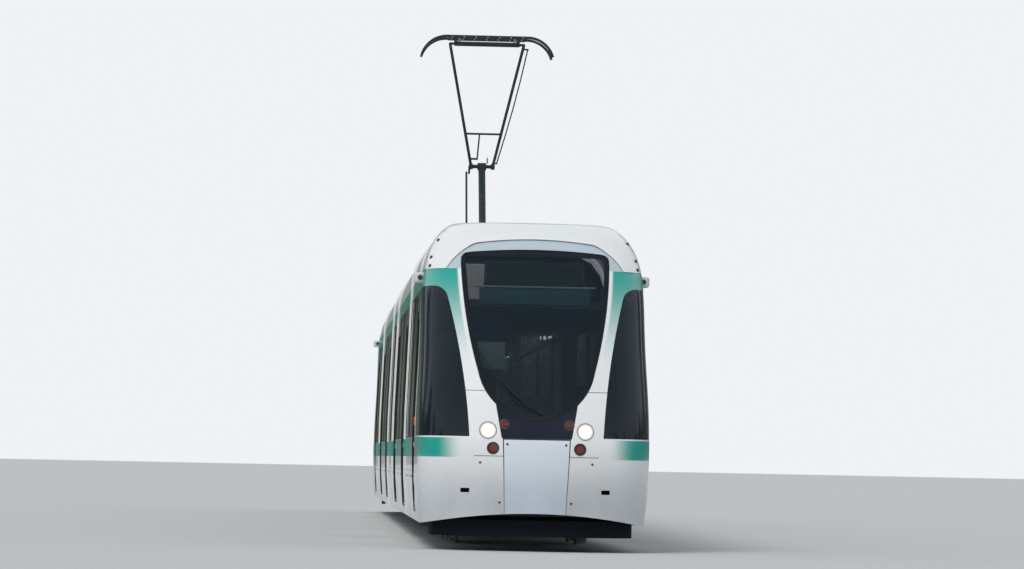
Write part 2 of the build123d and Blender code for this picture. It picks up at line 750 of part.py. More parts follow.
parts["link_interior"] = benches(link_rows, floor_top, 470) + link_poles

# Centre section on its own bogie
centre_wall = wall_with_openings(-centre_half, centre_half, split(centre_windows, 2), [])
parts["centre_walls"] = both(centre_wall)
parts["centre_glazing"] = [piece for glass in panes(split(centre_windows, 2)) for piece in both(glass)]
centre_roof = roof_tray(-centre_half, centre_half, True)
centre_portal = centre_half - portal_wall
centre_roof += portal(-centre_half, -centre_portal) + portal(centre_portal, centre_half)
parts["centre_roof"] = centre_roof
centre_floor, centre_wheel_boxes = bogie_floor(-centre_half, centre_half, 0)
centre_floor += eye_end(inner_pivot, 1) + turned(eye_end(inner_pivot, 1))
parts["centre_floor"] = [centre_floor] + centre_wheel_boxes
parts["centre_interior"] = podium_seats(0)
parts["centre_bogie"] = bogie(0)

# Bellows: a folded arch from skirt to skirt over each pivot
bellows_outer = [(1130, 300), (1165, 700), (1165, 1400), (1110, 2900), (980, 3200), (780, 3330)]
bellows_inner = [(700, 3230), (900, 3110), (1010, 2860), (1035, 1400), (1035, 700), (1030, 300)]
fold_count = 8
fold_depth = 45


def bellows_ring(depth):
    """The arch's section, its outer edge drawn in towards the middle by a fold's depth."""
    width, foot = bellows_outer[1][0], bellows_outer[0][1]
    height = bellows_outer[-1][1] - foot
    edge = [(y * (1 - depth / width), foot + (z - foot) * (1 - depth / height)) for y, z in bellows_outer]
    left = edge + [(-y, z) for y, z in edge[::-1]]
    outline = left + [(-y, z) for y, z in bellows_inner[::-1]] + bellows_inner
    return make_face(Polyline(*outline, close=True))


rings = []
for step in range(2 * fold_count + 1):
    x = -joint_half + joint_half * step / fold_count
    rings.append(Plane.YZ.offset(x) * bellows_ring(fold_depth if step % 2 else 0))
bellows = loft(rings, ruled=True)

# Pantograph, raised to the contact wire
rail_half = 430
rail_low, rail_high = 3500, 3550
rail_back, rail_front = -950, 800
rail_wide = 40
bar_wide = 60
insulator_radius = 45
rod_y = -208
rod_radius = 14
arm_pivot = (arm_base_x, arm_base_z)
lower_tube = 48
upper_tube = 20
brace_tube = 14
axle_half = 260
arm_pin = 40
rod_pin = 14
knuckle_pin = 25
head_pin = 18


def radial(angle, length):
    """A step of a length at an angle from +X in the X and Z plane."""
    return length * math.cos(math.radians(angle)), length * math.sin(math.radians(angle))


def rod_between(start, end, radius):
    """A round rod between two points."""
    return Solid.make_cylinder(radius, (Vector(*end) - Vector(*start)).length,
                               Plane(origin=start, z_dir=Vector(*end) - Vector(*start)))


def cross_tube(x, z, radius, y0, y1):
    """A round tube along Y."""
    return rod_between((x, y0, z), (x, y1, z), radius)


lower_dx, lower_dz = radial(lower_angle, lower_length)
knuckle = (arm_base_x + lower_dx, arm_base_z + lower_dz)
upper_dx, upper_dz = radial(upper_angle, upper_length)
head_pivot = (knuckle[0] + upper_dx, knuckle[1] + upper_dz)
crank_dx, crank_dz = radial(upper_angle + crank_angle, crank)
crank_end = (knuckle[0] + crank_dx, knuckle[1] + crank_dz)
rod_foot = (arm_base_x + rod_offset[0], arm_base_z + rod_offset[1])

# Base frame on four insulators, with bearings for the arm and a bracket for the rod
base = block(rail_back, rail_front, rail_half - rail_wide, rail_half, rail_low, rail_high)
base += mirror(base, about=Plane.XZ)
for x in (rail_back, 90, rail_front - bar_wide):
    base += block(x, x + bar_wide, -rail_half, rail_half, rail_low, rail_high)
insulator_height = rail_low - roof_top
for x in (rail_back + 50, rail_front - bar_wide / 2):
    for y in (-rail_half + rail_wide / 2, rail_half - rail_wide / 2):
        base += Pos(x, y, roof_top + insulator_height / 2) * Cylinder(insulator_radius, insulator_height)
for y in (-axle_half - 60, axle_half + 20):
    ear = [(-110, rail_low), (110, rail_low), (50, arm_base_z + 60), (-50, arm_base_z + 60)]
    base += across([(arm_base_x + x, z) for x, z in ear], y, y + 40)
for side in (-1, 1):
    foot = sorted((side * 300, side * rail_half))
    base += block(arm_base_x - 110, arm_base_x + 110, *foot, rail_low, rail_low + 40)
base -= cross_tube(*arm_pivot, arm_pin + bearing_clearance, -400, 400)
bracket = [(-100, rail_low), (35, rail_low), (35, rod_foot[1] + 35), (-35, rod_foot[1] + 35),
           (-35, rod_foot[1] - 40), (-100, rod_foot[1] - 60)]
base += across([(rod_foot[0] + x, z) for x, z in bracket], rod_y - 60, rod_y - 20)
base -= cross_tube(*rod_foot, rod_pin + bearing_clearance, rod_y - 100, rod_y)
parts["pantograph_base"] = base

lower = rod_between((arm_base_x, 0, arm_base_z), (knuckle[0], 0, knuckle[1]), lower_tube)
lower += cross_tube(*arm_pivot, 55, -axle_half + 6, axle_half - 6)
lower += cross_tube(*arm_pivot, arm_pin, -axle_half - 70, axle_half + 70)
lower += cross_tube(*knuckle, 52, -60, 60)
lower -= cross_tube(*knuckle, knuckle_pin + bearing_clearance, -100, 100)
parts["pantograph_lower_arm"] = lower

foot_point = (rod_foot[0], rod_y, rod_foot[1])
top_point = (crank_end[0], rod_y, crank_end[1])
rod = rod_between(foot_point, top_point, rod_radius)
rod += cross_tube(*rod_foot, 2 * rod_pin, rod_y - rod_radius, rod_y + rod_radius)
rod += cross_tube(*rod_foot, rod_pin, rod_y - 60, rod_y)
rod += cross_tube(*crank_end, 24, rod_y - 12, rod_y + 12)
parts["pantograph_tie_rod"] = rod

knuckle_half = 150
top_half = 505
upper = cross_tube(*knuckle, knuckle_pin, -knuckle_half - 30, knuckle_half + 30)
for side in (-1, 1):
    low_end = (knuckle[0], side * knuckle_half, knuckle[1])
    high_end = (head_pivot[0], side * top_half, head_pivot[1])
    upper += rod_between(low_end, high_end, upper_tube)
    hub = sorted((side * (knuckle_half - 25), side * (knuckle_half + 25)))
    upper += cross_tube(*knuckle, 40, *hub)
brace_share = 0.27
brace_half = knuckle_half + (top_half - knuckle_half) * brace_share
upper += cross_tube(knuckle[0] + upper_dx * brace_share, knuckle[1] + upper_dz * brace_share, brace_tube,
                    -brace_half, brace_half)
upper += cross_tube(*head_pivot, head_pin, -top_half - 10, top_half + 10)
lug_y = rod_y + 36
upper += rod_between((knuckle[0], lug_y, knuckle[1]), (crank_end[0], lug_y, crank_end[1]), 15)
parts["pantograph_upper_arm"] = upper

# Head: two collector strips on cradles, with horns that curve down at both ends
head_top = head_pivot[1] + 100
head = cross_tube(*head_pivot, 32, -top_half + 60, top_half - 60)
head -= cross_tube(*head_pivot, head_pin + bearing_clearance, -600, 600)
arm_out = strip_spacing / 2 + 20
arm_in = strip_spacing / 2 - 20
cradle_outline = [(-arm_out, 22), (-arm_out, 80), (-arm_in, 80), (-arm_in, 50),
                  (arm_in, 50), (arm_in, 80), (arm_out, 80), (arm_out, 22)]
cradle = across([(head_pivot[0] + x, head_pivot[1] + z) for x, z in cradle_outline],
                top_half - 90, top_half - 60)
head += cradle + mirror(cradle, about=Plane.XZ)
horn_face = make_face([
    ThreePointArc((strip_half, head_top), (770, head_top - 70), (head_half, head_top - 270)),
    Line((head_half, head_top - 270), (head_half - 32, head_top - 280)),
    ThreePointArc((head_half - 32, head_top - 280), (748, head_top - 96), (strip_half, head_top - 34)),
    Line((strip_half, head_top - 34), (strip_half, head_top)),
])
for x in (-strip_spacing / 2, strip_spacing / 2):
    strip_x = head_pivot[0] + x
    horn = along(horn_face, strip_x - 14, strip_x + 14)
    head += block(strip_x - 20, strip_x + 20, -strip_half, strip_half, head_top - 40, head_top)
    head += horn + mirror(horn, about=Plane.XZ)
parts["pantograph_head"] = head

# Sections named by their place: the rear ones are the front ones turned about Z
finished = {}
for name, shape in parts.items():
    if name.startswith(("cab", "link")):
        pieces = shape if isinstance(shape, list) else [shape]
        finished["front_" + name] = pieces
        finished["rear_" + name] = [turned(piece) for piece in pieces]
    else:
        finished[name] = shape if isinstance(shape, list) else [shape]
for number, pivot in enumerate((outer_pivot, inner_pivot, -inner_pivot, -outer_pivot), 1):
    finished[f"bellows_{number}"] = [Pos(pivot, 0, 0) * bellows]
axles = [centre + half for centre in (outer_bogie, 0, -outer_bogie)
         for half in (wheel_base / 2, -wheel_base / 2)]
for number, x in enumerate(axles, 1):
    finished[f"wheelset_{number}"] = [wheelset(x)]

for name, pieces in finished.items():
    solids = [solid for piece in pieces for solid in piece.solids()]
    export_step(Compound(solids) if len(solids) > 1 else solids[0], f"parts/{name}.step")
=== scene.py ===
import math

import bmesh
import bpy
from mathutils import Matrix, Vector
from mathutils.bvhtree import BVHTree


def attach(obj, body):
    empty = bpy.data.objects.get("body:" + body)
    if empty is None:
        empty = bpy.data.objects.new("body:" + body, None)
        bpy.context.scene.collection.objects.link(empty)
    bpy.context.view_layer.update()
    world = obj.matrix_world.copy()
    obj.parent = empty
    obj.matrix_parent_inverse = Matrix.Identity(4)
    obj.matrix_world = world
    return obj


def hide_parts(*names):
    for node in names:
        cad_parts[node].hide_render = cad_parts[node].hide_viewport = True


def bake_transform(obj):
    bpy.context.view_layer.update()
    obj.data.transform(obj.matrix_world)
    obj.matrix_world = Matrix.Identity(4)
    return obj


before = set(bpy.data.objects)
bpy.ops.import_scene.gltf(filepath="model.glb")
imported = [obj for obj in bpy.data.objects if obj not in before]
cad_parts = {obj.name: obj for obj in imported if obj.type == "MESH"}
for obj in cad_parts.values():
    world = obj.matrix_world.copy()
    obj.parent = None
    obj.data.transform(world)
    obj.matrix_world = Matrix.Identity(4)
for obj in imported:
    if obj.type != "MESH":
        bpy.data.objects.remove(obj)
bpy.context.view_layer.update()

# The place it stands: a pale matt floor under soft overcast light, seen from the platform edge a
# little to the vehicle's right, at standing height, through a long lens with a slight roll.
lens = 160
eye = Vector((62.45, -2.35, 0.94))
sight = Vector((-1, 0.0445, 0.0385)).normalized()
roll = math.radians(1.15)
level_right = sight.cross(Vector((0, 0, 1))).normalized()
level_up = level_right.cross(sight)
camera_up = level_up * math.cos(roll) - level_right * math.sin(roll)
camera_right = level_right * math.cos(roll) + level_up * math.sin(roll)
camera_data = bpy.data.cameras.new("camera")
camera_data.lens = lens
camera_data.clip_end = 500
camera = bpy.data.objects.new("camera", camera_data)
bpy.context.scene.collection.objects.link(camera)
turn = Matrix((camera_right, camera_up, -sight)).transposed().to_4x4()
camera.matrix_world = Matrix.Translation(eye) @ turn
bpy.context.scene.camera = camera
bpy.context.scene.view_settings.view_transform = "Standard"


def mesh_object(name, mesh):
    """Links a mesh into the scene as an object at the origin."""
    made = bpy.data.objects.new(name, mesh)
    bpy.context.scene.collection.objects.link(made)
    return made


def finish_of(name, colour, metallic=0.0, roughness=0.5, coat=0.0):
    """A material with one surface shader, set on its own sockets."""
    material = bpy.data.materials.new(name)
    material.use_nodes = True
    tree = material.node_tree
    shader = tree.nodes["Principled BSDF"]
    shader.inputs["Base Color"].default_value = (*colour, 1)
    shader.inputs["Metallic"].default_value = metallic
    shader.inputs["Roughness"].default_value = roughness
    shader.inputs["Coat Weight"].default_value = coat
    shader.inputs["Coat Roughness"].default_value = 0.06
    return material, tree, shader


floor_long, floor_wide = 400, 300
floor_corners = [(-floor_long, -floor_wide, 0), (floor_long, -floor_wide, 0),
                 (floor_long, floor_wide, 0), (-floor_long, floor_wide, 0)]
floor_mesh = bpy.data.meshes.new("floor")
floor_mesh.from_pydata(floor_corners, [], [(0, 1, 2, 3)])
floor = mesh_object("floor", floor_mesh)
floor_finish, _, _ = finish_of("floor_paint", (0.56, 0.57, 0.57), roughness=0.85)
floor_mesh.materials.append(floor_finish)


def math_step(tree, operation, *values):
    """One step of arithmetic on sockets or plain numbers."""
    step = tree.nodes.new("ShaderNodeMath")
    step.operation = operation
    for socket, value in zip(step.inputs, values):
        if isinstance(value, (int, float)):
            socket.default_value = value
        else:
            tree.links.new(value, socket)
    return step.outputs[0]


def ramp_up(tree, value, low, high):
    """0 below low, 1 above high, smooth between them."""
    step = tree.nodes.new("ShaderNodeMapRange")
    step.interpolation_type = "SMOOTHSTEP"
    tree.links.new(value, step.inputs["Value"])
    step.inputs["From Min"].default_value = low
    step.inputs["From Max"].default_value = high
    return step.outputs["Result"]


def mix_of(tree, mask, first, second):
    """The first colour where the mask is 0 and the second where it is 1."""
    step = tree.nodes.new("ShaderNodeMix")
    step.data_type = "RGBA"
    tree.links.new(mask, step.inputs["Factor"])
    for socket, colour in ((step.inputs["A"], first), (step.inputs["B"], second)):
        if isinstance(colour, tuple):
            socket.default_value = (*colour, 1)
        else:
            tree.links.new(colour, socket)
    return step.outputs["Result"]


world = bpy.data.worlds.new("sky")
bpy.context.scene.world = world
world.use_nodes = True
sky = world.node_tree
light_path = sky.nodes.new("ShaderNodeLightPath")
seen = sky.nodes.new("ShaderNodeMath")
seen.operation = "MAXIMUM"
sky.links.new(light_path.outputs["Is Camera Ray"], seen.inputs[0])
sky.links.new(light_path.outputs["Is Transmission Ray"], seen.inputs[1])
sky_light = sky.nodes["Background"]
sky_light.inputs["Color"].default_value = (0.80, 0.85, 0.92, 1)
sky_light.inputs["Strength"].default_value = 0.60
sky_seen = sky.nodes.new("ShaderNodeBackground")
sky_seen.inputs["Color"].default_value = (0.86, 0.89, 0.92, 1)
sky_seen.inputs["Strength"].default_value = 1.0
sky_mix = sky.nodes.new("ShaderNodeMixShader")
sky.links.new(seen.outputs[0], sky_mix.inputs["Fac"])
sky.links.new(sky_light.outputs[0], sky_mix.inputs[1])
sky.links.new(sky_seen.outputs[0], sky_mix.inputs[2])
# What gloss surfaces mirror: a ragged line of trees and buildings under a cloudy sky
direction = sky.nodes.new("ShaderNodeTexCoord").outputs["Generated"]
rise = sky.nodes.new("ShaderNodeSeparateXYZ")
sky.links.new(direction, rise.inputs[0])


def vista_noise(scale, stretch, detail):
    """Noise over the directions round the vehicle."""
    sized = sky.nodes.new("ShaderNodeVectorMath")
    sized.operation = "MULTIPLY"
    sky.links.new(direction, sized.inputs[0])
    sized.inputs[1].default_value = stretch
    noise = sky.nodes.new("ShaderNodeTexNoise")
    noise.inputs["Scale"].default_value = scale
    noise.inputs["Detail"].default_value = detail
    sky.links.new(sized.outputs[0], noise.inputs["Vector"])
    return noise.outputs["Fac"]


tree_line = math_step(sky, "MULTIPLY_ADD", vista_noise(9.0, (1, 1, 0.15), 5.0), 0.95, -0.24)
open_sky = ramp_up(sky, math_step(sky, "SUBTRACT", rise.outputs[2], tree_line), -0.02, 0.03)
leaves = ramp_up(sky, vista_noise(38.0, (1, 1, 0.5), 6.0), 0.35, 0.7)
cloud = ramp_up(sky, vista_noise(2.6, (1, 1, 1.6), 6.0), 0.3, 0.7)
overhead = ramp_up(sky, rise.outputs[2], 0.35, 0.95)
sky_colour = mix_of(sky, cloud, (0.66, 0.74, 0.80), (0.84, 0.88, 0.90))
sky_colour = mix_of(sky, overhead, sky_colour, (0.30, 0.40, 0.47))
ground_colour = mix_of(sky, leaves, (0.045, 0.06, 0.05), (0.20, 0.24, 0.19))
mirrored = mix_of(sky, open_sky, ground_colour, sky_colour)
sky_mirror = sky.nodes.new("ShaderNodeBackground")
sky.links.new(mirrored, sky_mirror.inputs["Color"])
mirror_mix = sky.nodes.new("ShaderNodeMixShader")
sky.links.new(light_path.outputs["Is Glossy Ray"], mirror_mix.inputs["Fac"])
sky.links.new(sky_mix.outputs[0], mirror_mix.inputs[1])
sky.links.new(sky_mirror.outputs[0], mirror_mix.inputs[2])
sky.links.new(mirror_mix.outputs[0], sky.nodes["World Output"].inputs["Surface"])

sun_data = bpy.data.lights.new("soft_sun", "SUN")
sun_data.energy = 1.7
sun_data.angle = math.radians(25)
sun_data.color = (1.0, 0.97, 0.92)
sun = bpy.data.objects.new("soft_sun", sun_data)
sun.visible_glossy = False
sun_way = Vector((0.62, -0.42, 0.95))
sun.rotation_euler = sun_way.to_track_quat("Z", "Y").to_euler()
bpy.context.scene.collection.objects.link(sun)

# Bogie frames: welded steel box beams in dark grey paint, browned by brake and road dust, with
# rubber springs on top, outboard motors, and magnetic track brakes hung between the wheels.


def place_in(tree):
    """X, Y and Z of the surface in metres, in the vehicle's own frame."""
    where = tree.nodes.new("ShaderNodeTexCoord")
    split = tree.nodes.new("ShaderNodeSeparateXYZ")
    tree.links.new(where.outputs["Object"], split.inputs[0])
    return split.outputs


def group_of(name, inputs, outputs):
    """An empty shader group with named number inputs, and named outputs by kind."""
    group = bpy.data.node_groups.new(name, "ShaderNodeTree")
    for label, value in inputs:
        socket = group.interface.new_socket(name=label, in_out="INPUT", socket_type="NodeSocketFloat")
        socket.default_value = value
    for label, kind in outputs:
        group.interface.new_socket(name=label, in_out="OUTPUT", socket_type=kind)
    return group, group.nodes.new("NodeGroupInput"), group.nodes.new("NodeGroupOutput")


def grain_in(tree, scale, detail=4.0, stretch=(1, 1, 1)):
    """Noise over the vehicle's own frame, scale given in cells a metre."""
    where = tree.nodes.new("ShaderNodeTexCoord")
    sized = tree.nodes.new("ShaderNodeVectorMath")
    sized.operation = "MULTIPLY"
    tree.links.new(where.outputs["Object"], sized.inputs[0])
    sized.inputs[1].default_value = stretch
    noise = tree.nodes.new("ShaderNodeTexNoise")
    tree.links.new(sized.outputs[0], noise.inputs["Vector"])
    if isinstance(scale, (int, float)):
        noise.inputs["Scale"].default_value = scale
    else:
        tree.links.new(scale, noise.inputs["Scale"])
    noise.inputs["Detail"].default_value = detail
    return noise.outputs["Fac"]


# Road film: dust thrown up from below, thickest at Low and gone at High, broken up by noise
road_film, film_in, film_out = group_of(
    "road_film", [("Low", 0.2), ("High", 1.2), ("Amount", 0.6)], [("Film", "NodeSocketFloat")])
film_height = place_in(road_film)[2]
film_span = math_step(road_film, "SUBTRACT", film_in.outputs["High"], film_in.outputs["Low"])
film_rise = math_step(road_film, "SUBTRACT", film_in.outputs["High"], film_height)
film_share = math_step(road_film, "DIVIDE", film_rise, film_span)
film_clamp = math_step(road_film, "MINIMUM", math_step(road_film, "MAXIMUM", film_share, 0.0), 1.0)
film_noise = ramp_up(road_film, grain_in(road_film, 3.1, 6.0, (1, 1, 0.35)), 0.28, 0.74)
film_mask = math_step(road_film, "MULTIPLY", film_clamp, film_noise)
film_amount = math_step(road_film, "MULTIPLY", film_mask, film_in.outputs["Amount"])
road_film.links.new(film_amount, film_out.inputs["Film"])

# Mottle: patches of two sizes for worn paint, rust bloom and heat stain, with its own small relief
mottle, mottle_in, mottle_out = group_of(
    "mottle", [("Scale", 6.0), ("Level", 0.5), ("Edge", 0.1)],
    [("Patch", "NodeSocketFloat"), ("Relief", "NodeSocketFloat")])
mottle_broad = grain_in(mottle, mottle_in.outputs["Scale"], 8.0)
mottle_low = math_step(mottle, "SUBTRACT", mottle_in.outputs["Level"], mottle_in.outputs["Edge"])
mottle_gap = math_step(mottle, "SUBTRACT", mottle_broad, mottle_low)
mottle_width = math_step(mottle, "MULTIPLY", mottle_in.outputs["Edge"], 2.0)
mottle_share = math_step(mottle, "DIVIDE", mottle_gap, mottle_width)
mottle_patch = math_step(mottle, "MINIMUM", math_step(mottle, "MAXIMUM", mottle_share, 0.0), 1.0)
mottle.links.new(mottle_patch, mottle_out.inputs["Patch"])
mottle.links.new(grain_in(mottle, 180.0, 3.0), mottle_out.inputs["Relief"])


def use_group(tree, group, **values):
    """Places a shader group with its own values."""
    placed = tree.nodes.new("ShaderNodeGroup")
    placed.node_tree = group
    for label, value in values.items():
        placed.inputs[label].default_value = value
    return placed.outputs


def relief_on(tree, shader, height, depth):
    """Small relief from a height, depth in metres."""
    bump = tree.nodes.new("ShaderNodeBump")
    bump.inputs["Distance"].default_value = depth
    bump.inputs["Strength"].default_value = 0.6
    tree.links.new(height, bump.inputs["Height"])
    tree.links.new(bump.outputs["Normal"], shader.inputs["Normal"])


def worn_metal(name, paint, worn, roughness, scale=6.0, level=0.6, metallic=0.0, dust=0.5, top=0.9):
    """Painted or bare metal with patches of wear and a film of dust from below."""
    material, tree, shader = finish_of(name, paint, metallic, roughness)
    patch = use_group(tree, mottle, Scale=scale, Level=level, Edge=0.08)
    film = use_group(tree, road_film, Low=0.0, High=top, Amount=dust)
    base = mix_of(tree, patch["Patch"], paint, worn)
    base = mix_of(tree, film["Film"], base, (0.17, 0.135, 0.10))
    tree.links.new(base, shader.inputs["Base Color"])
    spread = math_step(tree, "MULTIPLY_ADD", patch["Patch"], 0.2, roughness)
    tree.links.new(math_step(tree, "MAXIMUM", spread, film["Film"]), shader.inputs["Roughness"])
    relief_on(tree, shader, patch["Relief"], 0.0006)
    return material


def dress(material, *names):
    """Gives kept nodes their finish."""
    for name in names:
        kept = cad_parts[name].data
        kept.materials.clear()
        kept.materials.append(material)


bogie_paint = worn_metal("bogie_paint", (0.075, 0.077, 0.08), (0.12, 0.075, 0.05), 0.62, scale=9.0,
                         level=0.58)
dress(bogie_paint, "front_cab_bogie", "centre_bogie", "rear_cab_bogie")


def add_box(bm, low, high, bevel=0.0):
    """A box between two corners, with its edges rounded by bevel."""
    made = bmesh.ops.create_cube(bm, size=1.0)["verts"]
    size = Vector(high) - Vector(low)
    middle = (Vector(high) + Vector(low)) / 2
    for vertex in made:
        vertex.co = Vector(vertex.co[i] * size[i] for i in range(3)) + middle
    if bevel:
        edges = list({edge for vertex in made for edge in vertex.link_edges})
        bmesh.ops.bevel(bm, geom=edges, offset=bevel, segments=2, affect="EDGES", profile=0.5)


def bridge(bm, rings):
    """Faces between closed rings of equally many points."""
    for first, second in zip(rings, rings[1:]):
        count = len(first)
        for k in range(count):
            following = (k + 1) % count
            bm.faces.new((first[k], first[following], second[following], second[k]))


def close_ends(bm, rings):
    """Faces over the first and the last ring."""
    bm.faces.new(rings[0][::-1])
    bm.faces.new(rings[-1])


def add_tube(bm, points, radius, sides=10):
    """A round tube through points, capped at both ends."""
    points = [Vector(point) for point in points]
    rings = []
    side = None
    for i, point in enumerate(points):
        ahead = (points[min(i + 1, len(points) - 1)] - points[max(i - 1, 0)]).normalized()
        if side is None:
            side = ahead.orthogonal().normalized()
        side = (side - ahead * side.dot(ahead)).normalized()
        across = ahead.cross(side)
        ring = []
        for k in range(sides):
            angle = 2 * math.pi * k / sides
            spoke = side * math.cos(angle) + across * math.sin(angle)
            ring.append(bm.verts.new(point + spoke * radius))
        rings.append(ring)
    bridge(bm, rings)
    close_ends(bm, rings)


def add_lathe(bm, profile, origin, axis, steps=32):
    """A turned shape: profile of (distance along the axis, radius) from an origin."""
    axis = Vector(axis).normalized()
    side = axis.orthogonal().normalized()
    across = axis.cross(side)
    rings = []
    for along, radius in profile:
        ring = []
        for k in range(steps):
            angle = 2 * math.pi * k / steps
            spoke = side * math.cos(angle) + across * math.sin(angle)
            ring.append(bm.verts.new(Vector(origin) + axis * along + spoke * radius))
        rings.append(ring)
    bridge(bm, rings)
    close_ends(bm, rings)


def add_circle_of(bm, count, radius, middle, side, profile, steps):
    """Equal turned fittings on a circle round an axle, facing out to one side."""
    x, y, z = middle
    for k in range(count):
        angle = 2 * math.pi * k / count
        spot = (x + radius * math.cos(angle), y, z + radius * math.sin(angle))
        add_lathe(bm, profile, spot, (0, side, 0), steps)


def built_mesh(name, material, build, sharp, rear):
    """A finished mesh from build, turned to the rear if asked, shaded smooth up to an angle."""
    bm = bmesh.new()
    build(bm)
    if rear:
        bmesh.ops.rotate(bm, verts=bm.verts, cent=(0, 0, 0), matrix=Matrix.Rotation(math.pi, 3, "Z"))
    bmesh.ops.recalc_face_normals(bm, faces=bm.faces)
    limit = math.radians(sharp)
    for edge in bm.edges:
        edge.smooth = len(edge.link_faces) == 2 and edge.calc_face_angle(0) < limit
    for face in bm.faces:
        face.smooth = True
    mesh = bpy.data.meshes.new(name)
    bm.to_mesh(mesh)
    bm.free()
    mesh.materials.append(material)
    return mesh_object(name, mesh)


def piece_from(name, body, material, build, sharp=35, rear=False):
    """A built mesh that one body carries."""
    made = built_mesh(name, material, build, sharp, rear)
    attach(made, body)
    return made


def at_both_ends(name, body, material, build, sharp=35):
    """The same piece on the front section and, turned, on the rear one."""
    return [piece_from(f"{word}_{name}", f"{word}_{body}", material, build, sharp, rear)
            for word, rear in (("front", False), ("rear", True))]


bogies = (("front_cab_section", "front", 11.0), ("centre_section", "centre", 0.0),
          ("rear_cab_section", "rear", -11.0))
axle_x, axle_height = 0.8, 0.317
box_face = 0.6
box_cap = [(0, 0.085), (0.018, 0.085), (0.024, 0.075), (0.024, 0.06)]
cap_rise, cap_circle = 0.022, 0.074
bolt = [(0, 0.009), (0.012, 0.009)]
motor_y, motor_half = 0.93, 0.098
motor_low, motor_high = 0.36, 0.546
motor_rib_x, motor_rib_step, motor_rib_half, motor_ribs = 0.36, 0.09, 0.008, 9
hanger_x, hanger_y, hanger_radius = 0.3, 0.717, 0.016
hanger_low, hanger_high = 0.12, 0.262
spring_x, spring_foot = 0.25, 0.543
spring_groove, spring_rib, spring_step, spring_levels = 0.088, 0.098, 0.0155, 9
spring_rubber, tree, shader = finish_of("spring_rubber", (0.018, 0.018, 0.019), roughness=0.7)
relief_on(tree, shader, grain_in(tree, 260.0), 0.0004)


def bogie_springs(bm, middle):
    """Ribbed rubber springs over the motors."""
    profile = [(i * spring_step, spring_groove if i % 2 else spring_rib) for i in range(spring_levels)]
    for x in (-spring_x, spring_x):
        for y in (-motor_y, motor_y):
            add_lathe(bm, profile, (middle + x, y, spring_foot), (0, 0, 1), 24)


def bogie_fittings(bm, middle):
    """Axle box caps with their bolts, motor ribs and brake hangers."""
    for x in (middle - axle_x, middle + axle_x):
        for side in (-1, 1):
            add_lathe(bm, box_cap, (x, side * box_face, axle_height), (0, side, 0), 24)
            bolts_at = (x, side * (box_face + cap_rise), axle_height)
            add_circle_of(bm, 6, cap_circle, bolts_at, side, bolt, 6)
    for side in (-1, 1):
        for i in range(motor_ribs):
            x = middle - motor_rib_x + motor_rib_step * i
            add_box(bm, (x - motor_rib_half, side * motor_y - motor_half, motor_low),
                    (x + motor_rib_half, side * motor_y + motor_half, motor_high), 0.003)
        for x in (middle - hanger_x, middle + hanger_x):
            y = side * hanger_y
            add_tube(bm, [(x, y, hanger_low), (x, y, hanger_high)], hanger_radius)


for body, word, middle in bogies:
    piece_from(f"{word}_bogie_springs", body, spring_rubber,
               lambda bm: bogie_springs(bm, middle))
    piece_from(f"{word}_bogie_fittings", body, bogie_paint,
               lambda bm: bogie_fittings(bm, middle))

# Wheelsets: forged wheels pressed on an axle. The tread is bright from the rail, the web and disc
# brown with brake dust.
wheel_finish, tree, shader = finish_of("wheel_steel", (0.30, 0.28, 0.26), 0.85, 0.42)
patch = use_group(tree, mottle, Scale=14.0, Level=0.5, Edge=0.16)
across_y = math_step(tree, "ABSOLUTE", place_in(tree)[1])
tread_inner, tread_outer = (0.668, 0.69), (0.77, 0.779)
past_tread = ramp_up(tree, across_y, *tread_outer)
tread_zone = math_step(tree, "MULTIPLY", ramp_up(tree, across_y, *tread_inner),
                       math_step(tree, "SUBTRACT", 1.0, past_tread))
dusty = mix_of(tree, patch["Patch"], (0.13, 0.085, 0.06), (0.21, 0.17, 0.14))
tree.links.new(mix_of(tree, tread_zone, dusty, (0.52, 0.51, 0.50)), shader.inputs["Base Color"])
tree.links.new(math_step(tree, "MULTIPLY_ADD", tread_zone, -0.35, 0.6), shader.inputs["Roughness"])
tree.links.new(math_step(tree, "MULTIPLY_ADD", tread_zone, 0.6, 0.3), shader.inputs["Metallic"])
relief_on(tree, shader, patch["Relief"], 0.0004)
dress(wheel_finish, *(f"wheelset_{i}" for i in range(1, 7)))
disc_y, vent_circle = 0.733, 0.165
hub_y, hub_bolt_y, hub_circle = 0.838, 0.8, 0.075
vent = [(0, 0.024), (0.012, 0.024), (0.02, 0.015)]
hub_cap = [(0, 0.052), (0.012, 0.05), (0.018, 0.03)]


def wheel_fittings(bm, x):
    """Brake disc vents, hub caps and hub bolts on the outer faces of both wheels."""
    for side in (-1, 1):
        add_circle_of(bm, 8, vent_circle, (x, side * disc_y, axle_height), side, vent, 12)
        add_lathe(bm, hub_cap, (x, side * hub_y, axle_height), (0, side, 0), 20)
        add_circle_of(bm, 6, hub_circle, (x, side * hub_bolt_y, axle_height), side, bolt, 6)


axles = [middle + x for _, _, middle in bogies for x in (axle_x, -axle_x)]
for i, x in enumerate(axles, 1):
    piece_from(f"wheel_fittings_{i}", f"axle_{i}", wheel_finish,
               lambda bm: wheel_fittings(bm, x))

